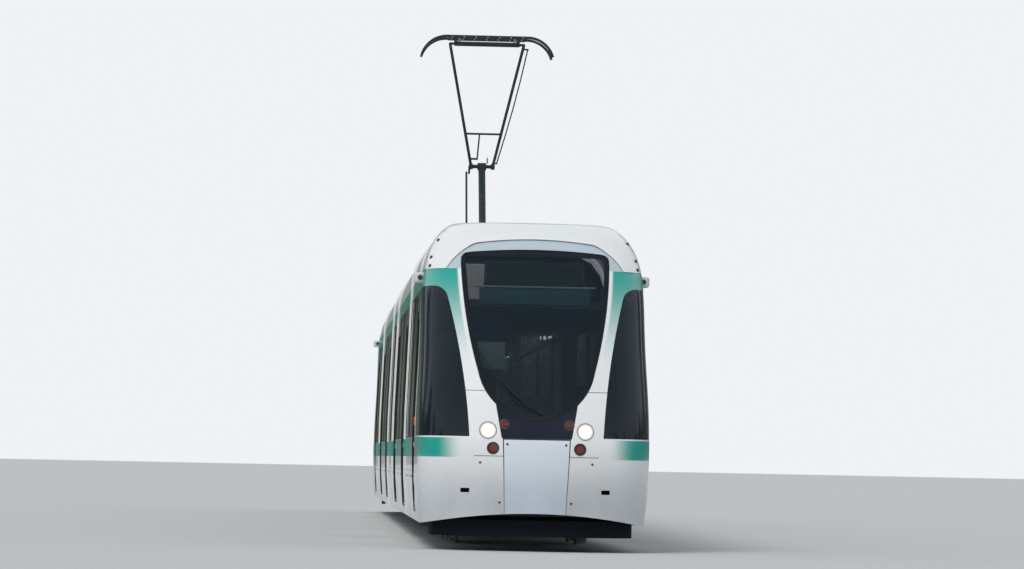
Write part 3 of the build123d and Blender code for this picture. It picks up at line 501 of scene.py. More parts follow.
# Underframes and floors: welded steel in grey paint below, with a speckled grey floor covering
# bonded on top, turned up over the wheel boxes.
nose_start, nose_floor_top = 14.15, 0.36
floor_finish, tree, shader = finish_of("floor_covering", (0.15, 0.155, 0.16), roughness=0.55)
speckle = use_group(tree, mottle, Scale=190.0, Level=0.6, Edge=0.03)
film = use_group(tree, road_film, Low=0.15, High=0.5, Amount=0.75)
base = mix_of(tree, speckle["Patch"], (0.14, 0.15, 0.165), (0.30, 0.31, 0.33))
base = mix_of(tree, film["Film"], base, (0.14, 0.12, 0.10))
x, y, z = place_in(tree)
# Under the nose the covering turns near-black with its sheen damped: partly the guard's own black, partly
# painted shade.
past_seam = math_step(tree, "GREATER_THAN", math_step(tree, "ABSOLUTE", x), nose_start)
black_and_shade_under_nose = math_step(tree, "MULTIPLY", past_seam, math_step(tree, "LESS_THAN", z, nose_floor_top))
tree.links.new(mix_of(tree, black_and_shade_under_nose, base, (0.010, 0.012, 0.017)), shader.inputs["Base Color"])
tree.links.new(math_step(tree, "MULTIPLY_ADD", black_and_shade_under_nose, 0.4, 0.55), shader.inputs["Roughness"])
tree.links.new(math_step(tree, "MULTIPLY_ADD", black_and_shade_under_nose, -0.4, 0.5), shader.inputs["Specular IOR Level"])
relief_on(tree, shader, speckle["Relief"], 0.0003)
dress(floor_finish, "front_cab_floor", "front_link_floor", "centre_floor", "rear_link_floor",
      "rear_cab_floor")

# Side walls: welded shells with bonded panels, painted gloss white with a jade waist band, a black
# glazing band and a jade strip under the roof; white ribs frame each articulation.
white = (0.83, 0.845, 0.85)
jade = (0.012, 0.36, 0.30)
glazing_black = (0.012, 0.014, 0.016)
skirt_seam, seam_half = 0.80, 0.004
waist = (0.955, 1.155)
glass_band = (1.162, 2.748)
jade_top = 2.925
rib_edge = 0.46
pivots = (9.3, 1.7)
lining_y = 1.0755


def band_mask(tree, value, low, high, soft=0.0015):
    """1 between two heights, with a soft edge."""
    rise = ramp_up(tree, value, low - soft, low + soft)
    fall = ramp_up(tree, value, high - soft, high + soft)
    return math_step(tree, "SUBTRACT", rise, fall)


def from_joint(tree, x):
    """Distance along X to the nearest pivot."""
    length = math_step(tree, "ABSOLUTE", x)
    outer, inner = [math_step(tree, "ABSOLUTE", math_step(tree, "SUBTRACT", length, pivot))
                    for pivot in pivots]
    return math_step(tree, "MINIMUM", outer, inner)


# Paint skin: the faint orange peel of sprayed gloss paint, and slow waves in the panels
paint_skin, skin_in, skin_out = group_of(
    "paint_skin", [("Peel", 420.0), ("Wave", 1.4)], [("Height", "NodeSocketFloat")])
peel = grain_in(paint_skin, skin_in.outputs["Peel"], 1.0)
wave = grain_in(paint_skin, skin_in.outputs["Wave"], 1.0)
skin_height = math_step(paint_skin, "MULTIPLY_ADD", wave, 14.0, peel)
paint_skin.links.new(skin_height, skin_out.inputs["Height"])


def gloss_paint(name, roughness=0.28):
    """Gloss body paint before its colours are laid on."""
    material, tree, shader = finish_of(name, white, 0.0, roughness, coat=0.5)
    skin = use_group(tree, paint_skin)
    relief_on(tree, shader, skin["Height"], 0.00012)
    return material, tree, shader


def lay_dust(tree, shader, base, low, high, amount, roughness):
    """Road film over finished colours."""
    film = use_group(tree, road_film, Low=low, High=high, Amount=amount)
    tree.links.new(mix_of(tree, film["Film"], base, (0.40, 0.365, 0.32)), shader.inputs["Base Color"])
    rough = math_step(tree, "MULTIPLY_ADD", film["Film"], 0.45, roughness)
    tree.links.new(rough, shader.inputs["Roughness"])


wall_paint, tree, shader = gloss_paint("wall_paint")
x, y, z = place_in(tree)
rib = math_step(tree, "LESS_THAN", from_joint(tree, x), rib_edge)
open_band = math_step(tree, "SUBTRACT", 1.0, rib)
inside = math_step(tree, "LESS_THAN", math_step(tree, "ABSOLUTE", y), lining_y)
base = mix_of(tree, band_mask(tree, z, *waist), white, jade)
base = mix_of(tree, band_mask(tree, z, glass_band[1], jade_top), base, jade)
black_mask = math_step(tree, "MULTIPLY", band_mask(tree, z, *glass_band), open_band)
base = mix_of(tree, black_mask, base, glazing_black)
seam_line = band_mask(tree, z, skirt_seam - seam_half, skirt_seam + seam_half, 0.001)
base = mix_of(tree, seam_line, base, (0.05, 0.05, 0.05))
base = mix_of(tree, inside, base, (0.55, 0.57, 0.58))
lay_dust(tree, shader, base, 0.2, 1.0, 0.55, 0.28)
dress(wall_paint, "front_cab_walls", "front_link_walls", "centre_walls", "rear_link_walls",
      "rear_cab_walls")

flank = ((0.27, 1.160), (0.72, 1.195), (1.12, 1.200), (1.52, 1.195), (2.22, 1.172), (2.92, 1.148))


def flank_y(height):
    """Half width of the body at a height."""
    for (low, wide), (high, narrow) in zip(flank, flank[1:]):
        if low <= height <= high:
            return wide + (narrow - wide) * (height - low) / (high - low)
    return flank[0][1]


def rounded_loop(x0, x1, z0, z1, radius, steps=5):
    """A rounded rectangle in X and Z, from the lower left corner round."""
    corners = ((x0 + radius, z0 + radius, 180), (x1 - radius, z0 + radius, 270),
               (x1 - radius, z1 - radius, 0), (x0 + radius, z1 - radius, 90))
    loop = []
    for cx, cz, start in corners:
        for i in range(steps + 1):
            angle = math.radians(start + 90 * i / steps)
            loop.append((cx + radius * math.cos(angle), cz + radius * math.sin(angle)))
    return loop


def split_long(loop, longest=0.25):
    """The same loop with its long straights cut, so that it can follow the flank."""
    made = []
    for first, second in zip(loop, loop[1:] + loop[:1]):
        count = max(1, math.ceil(math.dist(first, second) / longest))
        for i in range(count):
            made.append(tuple(a + (b - a) * i / count for a, b in zip(first, second)))
    return made


def add_gasket(bm, x0, x1, z0, z1, radius, width, proud, side, sunk=0.006):
    """A raised rubber ring round an opening in the flank."""
    outline = rounded_loop(x0 - width / 2, x1 + width / 2, z0 - width / 2, z1 + width / 2, radius)
    outer = split_long(outline)
    middle_x, middle_z = (x0 + x1) / 2, (z0 + z1) / 2
    rings = []
    for step, rise in ((0.0, -sunk), (0.0, proud * 0.6), (0.25, proud), (0.75, proud),
                       (1.0, proud * 0.6), (1.0, -sunk)):
        ring = []
        for px, pz in outer:
            near_x = min(abs(px - x0), abs(px - x1)) < radius + width
            near_z = min(abs(pz - z0), abs(pz - z1)) < radius + width
            mx = px + (math.copysign(width * step, middle_x - px) if near_x else 0.0)
            mz = pz + (math.copysign(width * step, middle_z - pz) if near_z else 0.0)
            ring.append(bm.verts.new((mx, side * (flank_y(mz) + rise), mz)))
        rings.append(ring)
    bridge(bm, rings)


def span_pair(low, high, count=2, pillar=0.08):
    """Equal window spans with pillars between them."""
    width = (high - low - (count - 1) * pillar) / count
    return [(low + i * (width + pillar), low + i * (width + pillar) + width) for i in range(count)]


window_heights = (1.17, 2.74)
window_corner, bead_width, bead_rise = 0.07, 0.016, 0.0015
cab_windows = span_pair(9.7, 12.88)
link_windows = span_pair(3.8, 7.2)
centre_windows = span_pair(-1.2, 1.2)
gasket_rubber, tree, shader = finish_of("gasket_rubber", (0.012, 0.012, 0.013), roughness=0.5)
relief_on(tree, shader, grain_in(tree, 300.0), 0.0002)


def window_gaskets(bm, spans):
    """Bonding beads round the panes of one section, both sides."""
    for x0, x1 in spans:
        for side in (-1, 1):
            add_gasket(bm, x0, x1, *window_heights, window_corner, bead_width, bead_rise, side)


def along_tram(name, material, slot, build, cab=None, link=None, centre=None, sharp=35):
    """The same kind of piece on each kind of section that has values given for it."""
    made = []
    for kind, given in (("cab", cab), ("link", link)):
        if given is not None:
            made += at_both_ends(f"{kind}_{name}", f"{kind}_section", material,
                                 lambda bm: build(bm, *given), sharp)
    if centre is not None:
        made.append(piece_from(f"centre_{name}", "centre_section", material,
                               lambda bm: build(bm, *centre), sharp))
    return made


along_tram("gaskets", gasket_rubber, "bellows_rubber", window_gaskets, cab=(cab_windows,),
           link=(link_windows,), centre=(centre_windows,))

skirt_low, cant = 0.275, 2.92
skirt_bend = 0.5
joint_half, joint_proud = 0.003, 0.0008
lock_height, lock_x = 0.74, 0.06
lock = [(0, 0.011), (0.003, 0.011), (0.004, 0.008)]
rib_width, rib_edge_width = 0.09, 0.006
rib_proud, rib_sunk = 0.009, 0.004
cab_joints, centre_joints = [9.85, 11.0, 12.15, 12.9], [-1.2, 0.0, 1.2]
link_joints = [2.35, 3.8, 5.5, 7.2, 8.65]


def skirt_joints(bm, places):
    """Joints between the skirt panels, with a quarter-turn lock on both sides of each."""
    for side in (-1, 1):
        for x in places:
            for z0, z1 in ((skirt_low, skirt_bend), (skirt_bend, skirt_seam)):
                low_y = side * (flank_y(z0) + joint_proud)
                high_y = side * (flank_y(z1) + joint_proud)
                corners = [(x - joint_half, low_y, z0), (x + joint_half, low_y, z0),
                           (x + joint_half, high_y, z1), (x - joint_half, high_y, z1)]
                bm.faces.new([bm.verts.new(corner) for corner in corners])
        for x in places:
            for way in (-1, 1):
                spot = (x + way * lock_x, side * (flank_y(lock_height) - 0.001), lock_height)
                add_lathe(bm, lock, spot, (0, side, 0), 14)


def end_ribs(bm, spans):
    """Raised ribs up both flanks at the ends of a section."""
    for x0, x1 in spans:
        for side in (-1, 1):
            rings = []
            for z in [skirt_low] + [height for height, _ in flank[1:-1]] + [cant]:
                y_out = side * (flank_y(z) + rib_proud)
                y_in = side * (flank_y(z) - rib_sunk)
                rings.append([bm.verts.new(spot) for spot in
                              ((x0, y_in, z), (x0 + rib_edge_width, y_out, z),
                               (x1 - rib_edge_width, y_out, z), (x1, y_in, z))])
            bridge(bm, rings)
            close_ends(bm, rings)


cab_ribs = [(9.585, 9.585 + rib_width)]
link_ribs = [(1.985, 1.985 + rib_width), (9.015 - rib_width, 9.015)]
centre_ribs = [(-1.415, -1.415 + rib_width), (1.415 - rib_width, 1.415)]
trim_paint, tree, shader = gloss_paint("trim_paint")
trim_waist = band_mask(tree, place_in(tree)[2], *waist)
lay_dust(tree, shader, mix_of(tree, trim_waist, (0.80, 0.81, 0.815), jade), 0.2, 1.0, 0.5, 0.3)
along_tram("ribs", trim_paint, "body_white", end_ribs, cab=(cab_ribs,), link=(link_ribs,),
           centre=(centre_ribs,))
seam_finish, tree, shader = finish_of("seam_shadow", (0.03, 0.03, 0.032), roughness=0.6)
relief_on(tree, shader, grain_in(tree, 90.0), 0.0002)
along_tram("skirt_joints", seam_finish, "bellows_rubber", skirt_joints, cab=(cab_joints,),
           link=(link_joints,), centre=(centre_joints,))

# Window panes: tinted safety glass bonded flush with the black band. The cab's panes have a cast of
# blue, and its windscreen is clearer, with a broad printed edge.


def tinted_glass(name, tint, clear=0.75):
    """Thin tinted glass: part mirror, part see-through."""
    material, tree, shader = finish_of(name, tint, 0.0, 0.02)
    shader.inputs["IOR"].default_value = 1.5
    shader.inputs["Alpha"].default_value = clear
    shader.inputs["Specular IOR Level"].default_value = 0.5
    streak = ramp_up(tree, grain_in(tree, 2.2, 5.0, (1, 1, 0.2)), 0.4, 0.8)
    tree.links.new(math_step(tree, "MULTIPLY_ADD", streak, 0.05, 0.02), shader.inputs["Roughness"])
    return material, tree, shader


pane_glass, tree, shader = tinted_glass("pane_glass", (0.016, 0.022, 0.024), 0.72)
dress(pane_glass, "front_link_glazing", "centre_glazing", "rear_link_glazing")

screen_knee, screen_bend, screen_corner = (0.600, 1.840), (0.735, 2.490), (0.780, 3.090)
knee_slope, bend_slope = 0.2077, 0.075
foot_middle, foot_radius = 1.95, 0.565
print_width, print_top = 0.045, 3.055
cab_clear, screen_clearer = 0.72, 0.27
cab_glass, tree, shader = tinted_glass("cab_glass", (0.012, 0.020, 0.028), cab_clear)
shader.inputs["Specular IOR Level"].default_value = 0.36
x, y, z = place_in(tree)
reach_y = math_step(tree, "ABSOLUTE", y)
over_knee = math_step(tree, "SUBTRACT", z, screen_knee[1])
over_bend = math_step(tree, "SUBTRACT", z, screen_bend[1])
side_low = math_step(tree, "MULTIPLY_ADD", over_knee, knee_slope, screen_knee[0])
side_high = math_step(tree, "MULTIPLY_ADD", over_bend, bend_slope, screen_bend[0])
side_line = math_step(tree, "MINIMUM", side_low, side_high)
off_side = math_step(tree, "SUBTRACT", reach_y, math_step(tree, "MAXIMUM", side_line, screen_knee[0]))
in_screen = math_step(tree, "LESS_THAN", off_side, 0.02)
foot_drop = math_step(tree, "MINIMUM", math_step(tree, "SUBTRACT", z, foot_middle), 0.0)
foot_square = math_step(tree, "MULTIPLY_ADD", y, y, math_step(tree, "MULTIPLY", foot_drop, foot_drop))
foot_edge = math_step(tree, "GREATER_THAN", math_step(tree, "SQRT", foot_square), foot_radius)
low_part = math_step(tree, "LESS_THAN", z, screen_knee[1])
edge = math_step(tree, "MAXIMUM", math_step(tree, "MULTIPLY", foot_edge, low_part),
                 math_step(tree, "GREATER_THAN", off_side, -print_width))
edge = math_step(tree, "MAXIMUM", edge, math_step(tree, "GREATER_THAN", z, print_top))
edge = math_step(tree, "MULTIPLY", edge, in_screen)
clearer = math_step(tree, "MULTIPLY_ADD", in_screen, -screen_clearer, cab_clear)
tree.links.new(math_step(tree, "MAXIMUM", clearer, edge), shader.inputs["Alpha"])
tree.links.new(mix_of(tree, edge, (0.010, 0.018, 0.026), (0.006, 0.007, 0.011)),
               shader.inputs["Base Color"])
dress(cab_glass, "front_cab_glazing", "rear_cab_glazing")

# Doors: aluminium leaves in gloss black round full-height glass, with rubber fingers where they
# meet and a lit push button beside each.
leaf_lining = 1.135
door_paint, tree, shader = gloss_paint("door_paint", 0.22)
leaf_y = math_step(tree, "ABSOLUTE", place_in(tree)[1])
leaf_inside = math_step(tree, "LESS_THAN", leaf_y, leaf_lining)
leaf_colour = mix_of(tree, leaf_inside, glazing_black, (0.45, 0.46, 0.47))
lay_dust(tree, shader, leaf_colour, 0.2, 0.8, 0.4, 0.22)
dress(door_paint, "front_cab_doors", "front_link_doors", "rear_link_doors", "rear_cab_doors")

door_low, door_high = 0.37, 2.52
cab_doors = [(13.0, 13.85)]
link_doors = [(2.43, 3.73), (7.27, 8.57)]
leaf_gap = 0.004
leaf_frame, leaf_foot, leaf_head = 0.055, 0.09, 0.07
doorway_corner, doorway_width, doorway_rise = 0.02, 0.014, 0.002
bead_corner, leaf_bead, leaf_rise, leaf_sunk = 0.04, 0.012, -0.004, 0.010
finger_heights = (0.40, 0.95, 1.5, 2.0, 2.5)
finger_radius, finger_sunk = 0.011, 0.003


def door_trim(bm, doors, leaves):
    """Rubber round each doorway, finger seals between the leaves and a bead round each pane."""
    for low, high in doors:
        pitch = (high - low - leaf_gap) / leaves
        for side in (-1, 1):
            add_gasket(bm, low, high, door_low, door_high, doorway_corner, doorway_width,
                       doorway_rise, side)
            for i in range(leaves):
                start = low + leaf_gap + i * pitch
                add_gasket(bm, start + leaf_frame, start + pitch - leaf_gap - leaf_frame,
                           door_low + leaf_foot, door_high - leaf_head, bead_corner, leaf_bead,
                           leaf_rise, side, leaf_sunk)
            for i in range(1, leaves):
                middle = low + i * pitch + leaf_gap / 2
                for z0, z1 in zip(finger_heights, finger_heights[1:]):
                    ends = [(middle, side * (flank_y(z) - finger_sunk), z) for z in (z0, z1)]
                    add_tube(bm, ends, finger_radius, 8)


along_tram("door_seals", gasket_rubber, "bellows_rubber", door_trim, cab=(cab_doors, 1),
           link=(link_doors, 2))

button_height, button_past, button_sunk = 1.08, 0.035, 0.002
button_ring, tree, shader = finish_of("button_ring", (0.55, 0.56, 0.57), 1.0, 0.3)
relief_on(tree, shader, grain_in(tree, 400.0), 0.0001)
button_lens, tree, shader = finish_of("button_lens", (0.02, 0.30, 0.08), roughness=0.25, coat=0.6)
relief_on(tree, shader, grain_in(tree, 300.0), 0.0001)
shader.inputs["Emission Color"].default_value = (0.05, 0.9, 0.25, 1)
shader.inputs["Emission Strength"].default_value = 0.35
ring_profile = [(0, 0.026), (0.005, 0.026), (0.008, 0.022), (0.008, 0.017)]
lens_profile = [(0, 0.016), (0.008, 0.016), (0.011, 0.012)]


def button_parts(bm, doors, profile, steps):
    """One part of the push buttons beside each doorway."""
    y = flank_y(button_height) - button_sunk
    for _, high in doors:
        for side in (-1, 1):
            add_lathe(bm, profile, (high + button_past, side * y, button_height), (0, side, 0), steps)


along_tram("button_rings", button_ring, "wheel_steel", button_parts,
           cab=(cab_doors, ring_profile, 24), link=(link_doors, ring_profile, 24))
along_tram("button_lenses", button_lens, "lamp_glass", button_parts,
           cab=(cab_doors, lens_profile, 20), link=(link_doors, lens_profile, 20))

# Roofs: glass-fibre coves along both edges of a flat aluminium tray, gloss white outside, with the
# dull grey of weather and carbon dust from the pantograph on top.
soot_low, soot_high, ceiling_top = 3.36, 3.45, 2.88
roof_paint, tree, shader = gloss_paint("roof_paint", 0.3)
x, y, z = place_in(tree)
soot_cloud = ramp_up(tree, grain_in(tree, 1.6, 7.0, (0.35, 1, 1)), 0.35, 0.75)
soot = math_step(tree, "MULTIPLY", ramp_up(tree, z, soot_low, soot_high), soot_cloud)
soot_share = math_step(tree, "MULTIPLY", soot, 0.5)
base = mix_of(tree, soot_share, (0.86, 0.87, 0.87), (0.33, 0.32, 0.31))
base = mix_of(tree, math_step(tree, "LESS_THAN", z, ceiling_top), base, (0.60, 0.61, 0.62))
tree.links.new(base, shader.inputs["Base Color"])
tree.links.new(math_step(tree, "MULTIPLY_ADD", soot, 0.4, 0.3), shader.inputs["Roughness"])
dress(roof_paint, "front_cab_roof", "front_link_roof", "centre_roof", "rear_link_roof", "rear_cab_roof")

cove = ((1.148, 2.920), (1.060, 3.235), (0.815, 3.450))
channel = ((0.815, 2.645), (1.034, 2.645), (1.034, 2.920))
bulkhead_places, bulkhead_thick, bulkhead_inset = (1.992, 9.0), 0.008, 0.006
cove_steps = 14
arch_sunk, arch_proud, arch_fin, arch_edge = 0.004, 0.009, 0.05, 0.008


def circle_through(first, middle, last):
    """Middle and radius of the circle through three points."""
    (ax, ay), (bx, by), (cx, cy) = first, middle, last
    a, b, c = ax * ax + ay * ay, bx * bx + by * by, cx * cx + cy * cy
    d = 2 * (ax * (by - cy) + bx * (cy - ay) + cx * (ay - by))
    ux = (a * (by - cy) + b * (cy - ay) + c * (ay - by)) / d
    uy = (a * (cx - bx) + b * (ax - cx) + c * (bx - ax)) / d
    return ux, uy, math.hypot(ax - ux, ay - uy)


def cove_points(count, lift=0.0, fin=0.0):
    """Points over the cove from the cant to the roof's edge, lifted off it, more so at the top."""
    ux, uy, radius = circle_through(*cove)
    start, end = [math.atan2(y - uy, x - ux) for x, y in (cove[0], cove[-1])]
    made = []
    for i in range(count + 1):
        angle = start + (end - start) * i / count
        reach = radius + lift + fin * (i / count) ** 2
        made.append((ux + reach * math.cos(angle), uy + reach * math.sin(angle)))
    return made


def cove_ribs(bm, spans):
    """White arches over both coves at the section ends, standing up as a fin at the roof's edge."""
    foot, crest = cove_points(cove_steps, -arch_sunk), cove_points(cove_steps, arch_proud, arch_fin)
    for x0, x1 in spans:
        for side in (-1, 1):
            rings = []
            for (low_y, low_z), (high_y, high_z) in zip(foot, crest):
                rings.append([bm.verts.new(spot) for spot in
                              ((x0, side * low_y, low_z), (x0 + arch_edge, side * high_y, high_z),
                               (x1 - arch_edge, side * high_y, high_z), (x1, side * low_y, low_z))])
            bridge(bm, rings)
            close_ends(bm, rings)


def roof_bulkheads(bm):
    """Plates that close the open channel between cove and tray at the ends of a link section."""
    outline = cove_points(10, -bulkhead_inset) + list(channel)
    for x in bulkhead_places:
        for side in (-1, 1):
            plate = [[bm.verts.new((face_x, side * y, z)) for y, z in outline]
                     for face_x in (x, x + bulkhead_thick)]
            bridge(bm, plate)
            close_ends(bm, plate)


along_tram("cove_ribs", trim_paint, "body_white", cove_ribs, cab=(cab_ribs,), link=(link_ribs,),
           centre=(centre_ribs,))
at_both_ends("link_bulkheads", "link_section", roof_paint, roof_bulkheads)

# Roof equipment: folded aluminium housings in satin grey with louvres and screwed lids, one of them
# over three fans; conduits run beside them on the tray, and the cab sections have flat hatches.
unit_paint = worn_metal("unit_paint", (0.50, 0.51, 0.52), (0.43, 0.42, 0.41), 0.45, scale=2.4,
                        level=0.55, dust=0.0)
dress(unit_paint, "front_link_roof_unit", "rear_link_roof_unit")
fan_black, tree, shader = finish_of("fan_black", (0.02, 0.02, 0.022), roughness=0.45)
relief_on(tree, shader, grain_in(tree, 240.0), 0.0003)
bolt_steel, tree, shader = finish_of("bolt_steel", (0.55, 0.55, 0.55), 1.0, 0.35)
relief_on(tree, shader, grain_in(tree, 300.0), 0.0002)
fan_places = (3.6, 4.5, 5.4)
fan_foot, blade_height = 3.19, 3.215
fan_hub = [(0, 0.07), (0.05, 0.07), (0.06, 0.055)]
blade_root, blade_tip = (0.065, 0.03, 0.022), (0.24, 0.055, 0.012)
blade_count, blade_half = 6, 0.003


def fan_rotors(bm):
    """Six twisted blades round a hub under each guard."""
    for x in fan_places:
        add_lathe(bm, fan_hub, (x, 0, fan_foot), (0, 0, 1), 24)
        for k in range(blade_count):
            angle = 2 * math.pi * k / blade_count
            c, s = math.cos(angle), math.sin(angle)
            corners = []
            for (radius, half, rise), signs in ((blade_root, (-1, 1)), (blade_tip, (1, -1))):
                for sign in signs:
                    px, py = radius * c - sign * half * s, radius * s + sign * half * c
                    corners.append((x + px, py, blade_height + sign * rise))
            faces = [[bm.verts.new((px, py, pz + way * blade_half)) for px, py, pz in corners]
                     for way in (-1, 1)]
            bridge(bm, faces)
            close_ends(bm, faces)


fan_housing = (3.0, 6.0, 0.60, 3.33)
plain_housing = (6.3, 8.3, 0.58, 3.25)
lid_rise, lid_lap, lid_bevel = 0.014, 0.002, 0.006
fan_lid_start, fan_lid_end, fan_lid_side = 0.03, 0.27, 0.02
plain_lid_start, plain_lid_gap, plain_lid_side = 0.08, 0.01, 0.04
unit_screw = [(-0.002, 0.01), (0.006, 0.01), (0.009, 0.007)]
screw_step, screw_edge = 0.2, 0.015
eye_radius, eye_rise, eye_wire, eye_steps = 0.028, 0.04, 0.006, 12
eye_in, eye_edge = 0.12, 0.09


def unit_lids(bm):
    """Raised lids with turned-down edges: beside the fans, and two over the other housing."""
    x0, x1, half, top = fan_housing
    for a, b in ((x0 + fan_lid_start, x0 + fan_lid_end), (x1 - fan_lid_end, x1 - fan_lid_start)):
        add_box(bm, (a, fan_lid_side - half, top - lid_lap), (b, half - fan_lid_side, top + lid_rise),
                lid_bevel)
    x0, x1, half, top = plain_housing
    middle = (x0 + x1) / 2
    for a, b in ((x0 + plain_lid_start, middle - plain_lid_gap),
                 (middle + plain_lid_gap, x1 - plain_lid_start)):
        add_box(bm, (a, plain_lid_side - half, top - lid_lap),
                (b, half - plain_lid_side, top + lid_rise), lid_bevel)


def unit_bolts(bm):
    """Screws along the lids, and lifting eyes at the housings' corners."""
    for x0, x1, half, top in (fan_housing, plain_housing):
        for i in range(int((x1 - x0) / screw_step)):
            x = x0 + screw_step * (i + 0.5)
            for side in (-1, 1):
                add_lathe(bm, unit_screw, (x, side * (half - screw_edge), top), (0, 0, 1), 8)
        for x in (x0 + eye_in, x1 - eye_in):
            for side in (-1, 1):
                ring = []
                for k in range(eye_steps + 1):
                    angle = 2 * math.pi * k / eye_steps
                    ring.append((x + eye_radius * math.cos(angle), side * (half - eye_edge),
                                 top + eye_rise + eye_radius * math.sin(angle)))
                add_tube(bm, ring, eye_wire, 6)


cable_lines, cable_height, cable_radius = (0.81, 0.86), 2.675, 0.018
cable_start, cable_end = 2.1, 8.9
clip_count, clip_start, clip_pitch, clip_half = 12, 2.4, 0.55, 0.02
clip_y, clip_reach = 0.835, 0.06
clip_low, clip_high = 2.641, 2.701


def roof_cables(bm):
    """Conduits that run along the tray beside the housings, held by clips."""
    for side in (-1, 1):
        for line in cable_lines:
            y = side * line
            add_tube(bm, [(cable_start, y, cable_height), (cable_end, y, cable_height)], cable_radius, 8)
    for i in range(clip_count):
        x = clip_start + clip_pitch * i
        for side in (-1, 1):
            y = side * clip_y
            add_box(bm, (x - clip_half, y - clip_reach, clip_low),
                    (x + clip_half, y + clip_reach, clip_high), 0.006)


at_both_ends("fan_rotors", "link_section", fan_black, fan_rotors)
at_both_ends("unit_lids", "link_section", unit_paint, unit_lids)
at_both_ends("unit_bolts", "link_section", bolt_steel, unit_bolts)
at_both_ends("roof_cables", "link_section", fan_black, roof_cables)

hatches = ((9.9, 10.9), (11.2, 12.4))
hatch_half, hatch_low, hatch_high = 0.5, 3.445, 3.466
hatch_screw = [(0, 0.009), (0.006, 0.009), (0.008, 0.006)]
hatch_edge = 0.03
ventilator_low, ventilator_high = (10.98, -0.22, hatch_low), (11.12, 0.22, 3.475)


def roof_hatches(bm):
    """Two screwed hatches and a low ventilator on the cab section's roof."""
    for x0, x1 in hatches:
        add_box(bm, (x0, -hatch_half, hatch_low), (x1, hatch_half, hatch_high), 0.008)
    add_box(bm, ventilator_low, ventilator_high, 0.012)


def hatch_bolts(bm):
    """Screws along both sides of the hatches."""
    for x0, x1 in hatches:
        count = round((x1 - x0) / screw_step)
        for i in range(count + 1):
            x = x0 + hatch_edge + (x1 - x0 - 2 * hatch_edge) * i / count
            for y in (hatch_edge - hatch_half, hatch_half - hatch_edge):
                add_lathe(bm, hatch_screw, (x, y, hatch_high - 0.001), (0, 0, 1), 8)


at_both_ends("roof_hatches", "cab_section", unit_paint, roof_hatches)
at_both_ends("hatch_bolts", "cab_section", bolt_steel, hatch_bolts)

# Bellows: coated fabric folds sewn and clamped in arches round each gangway, between frames on both
# sections. They replace the plain folds of the kept nodes.
cloth_black = (0.022, 0.022, 0.024)
bellows_cloth, tree, shader = finish_of("bellows_cloth", cloth_black, roughness=0.72)
weave = grain_in(tree, 700.0, 2.0)
relief_on(tree, shader, weave, 0.0004)
film = use_group(tree, road_film, Low=0.2, High=3.2, Amount=0.35)
dusty = mix_of(tree, film["Film"], cloth_black, (0.12, 0.115, 0.105))
tree.links.new(dusty, shader.inputs["Base Color"])
fold_count, fold_steps = 9, 6
fold_least, fold_deep, cloth_thick, clamp_depth = 0.010, 0.042, 0.035, 0.02
bellows_half, bend_half = 0.279, 0.27
cloth_step, crown_steps = 0.12, 12
arch_outline = ((1.13, 0.30), (1.165, 0.70), (1.165, 1.40), (1.15, 2.0), (1.12, 2.6), (1.095, 2.92),
                (1.04, 3.1), (0.93, 3.25), (0.76, 3.33))


def arch_path():
    """The bellows' outline from the left skirt over the roof to the right one, with its normals."""
    points = []
    for (y0, z0), (y1, z1) in zip(arch_outline, arch_outline[1:]):
        count = max(1, round(math.dist((y0, z0), (y1, z1)) / cloth_step))
        points += [(y0 + (y1 - y0) * i / count, z0 + (z1 - z0) * i / count) for i in range(count)]
    last_y, last_z = arch_outline[-1]
    points += [(last_y * (1 - i / crown_steps), last_z) for i in range(crown_steps)]
    left = points + [(0.0, last_z)]
    full = left + [(-y, z) for y, z in left[-2::-1]]
    path = []
    for i, (y, z) in enumerate(full):
        (ya, za), (yb, zb) = full[max(i - 1, 0)], full[min(i + 1, len(full) - 1)]
        length = math.hypot(yb - ya, zb - za)
        path.append((y, z, (zb - za) / length, -(yb - ya) / length))
    return path


def build_bellows(bm, pivot):
    """A closed skin of rounded folds: outer face, inner lining and both clamped ends."""
    path = arch_path()
    steps = fold_count * fold_steps
    rings = []
    for i in range(steps + 1):
        x = pivot - bellows_half + 2 * bellows_half * i / steps
        fold = 0.5 - 0.5 * math.cos(2 * math.pi * fold_count * i / steps)
        depth = clamp_depth if i in (0, steps) else fold_least + fold_deep * (1 - fold ** 0.7)
        lining = depth + cloth_thick
        outer = [bm.verts.new((x, y - ny * depth, z - nz * depth)) for y, z, ny, nz in path]
        inner = [bm.verts.new((x, y - ny * lining, z - nz * lining)) for y, z, ny, nz in path]
        rings.append(outer + inner[::-1])
    bridge(bm, rings)
    half = len(rings[0]) // 2
    for ring in (rings[0], rings[-1]):
        for k in range(half - 1):
            bm.faces.new((ring[k], ring[k + 1], ring[2 * half - 2 - k], ring[2 * half - 1 - k]))


gangways = (("bellows_1", 9.3, "front_link_section", "front_cab_section"),
            ("bellows_2", 1.7, "centre_section", "front_link_section"),
            ("bellows_3", -1.7, "centre_section", "rear_link_section"),
            ("bellows_4", -9.3, "rear_link_section", "rear_cab_section"))
for node, pivot, first, second in gangways:
    folds = built_mesh(node + "_folds", bellows_cloth, lambda bm: build_bellows(bm, pivot), 180, False)
    reach = math.copysign(bend_half, pivot)
    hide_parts(node)
    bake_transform(folds)

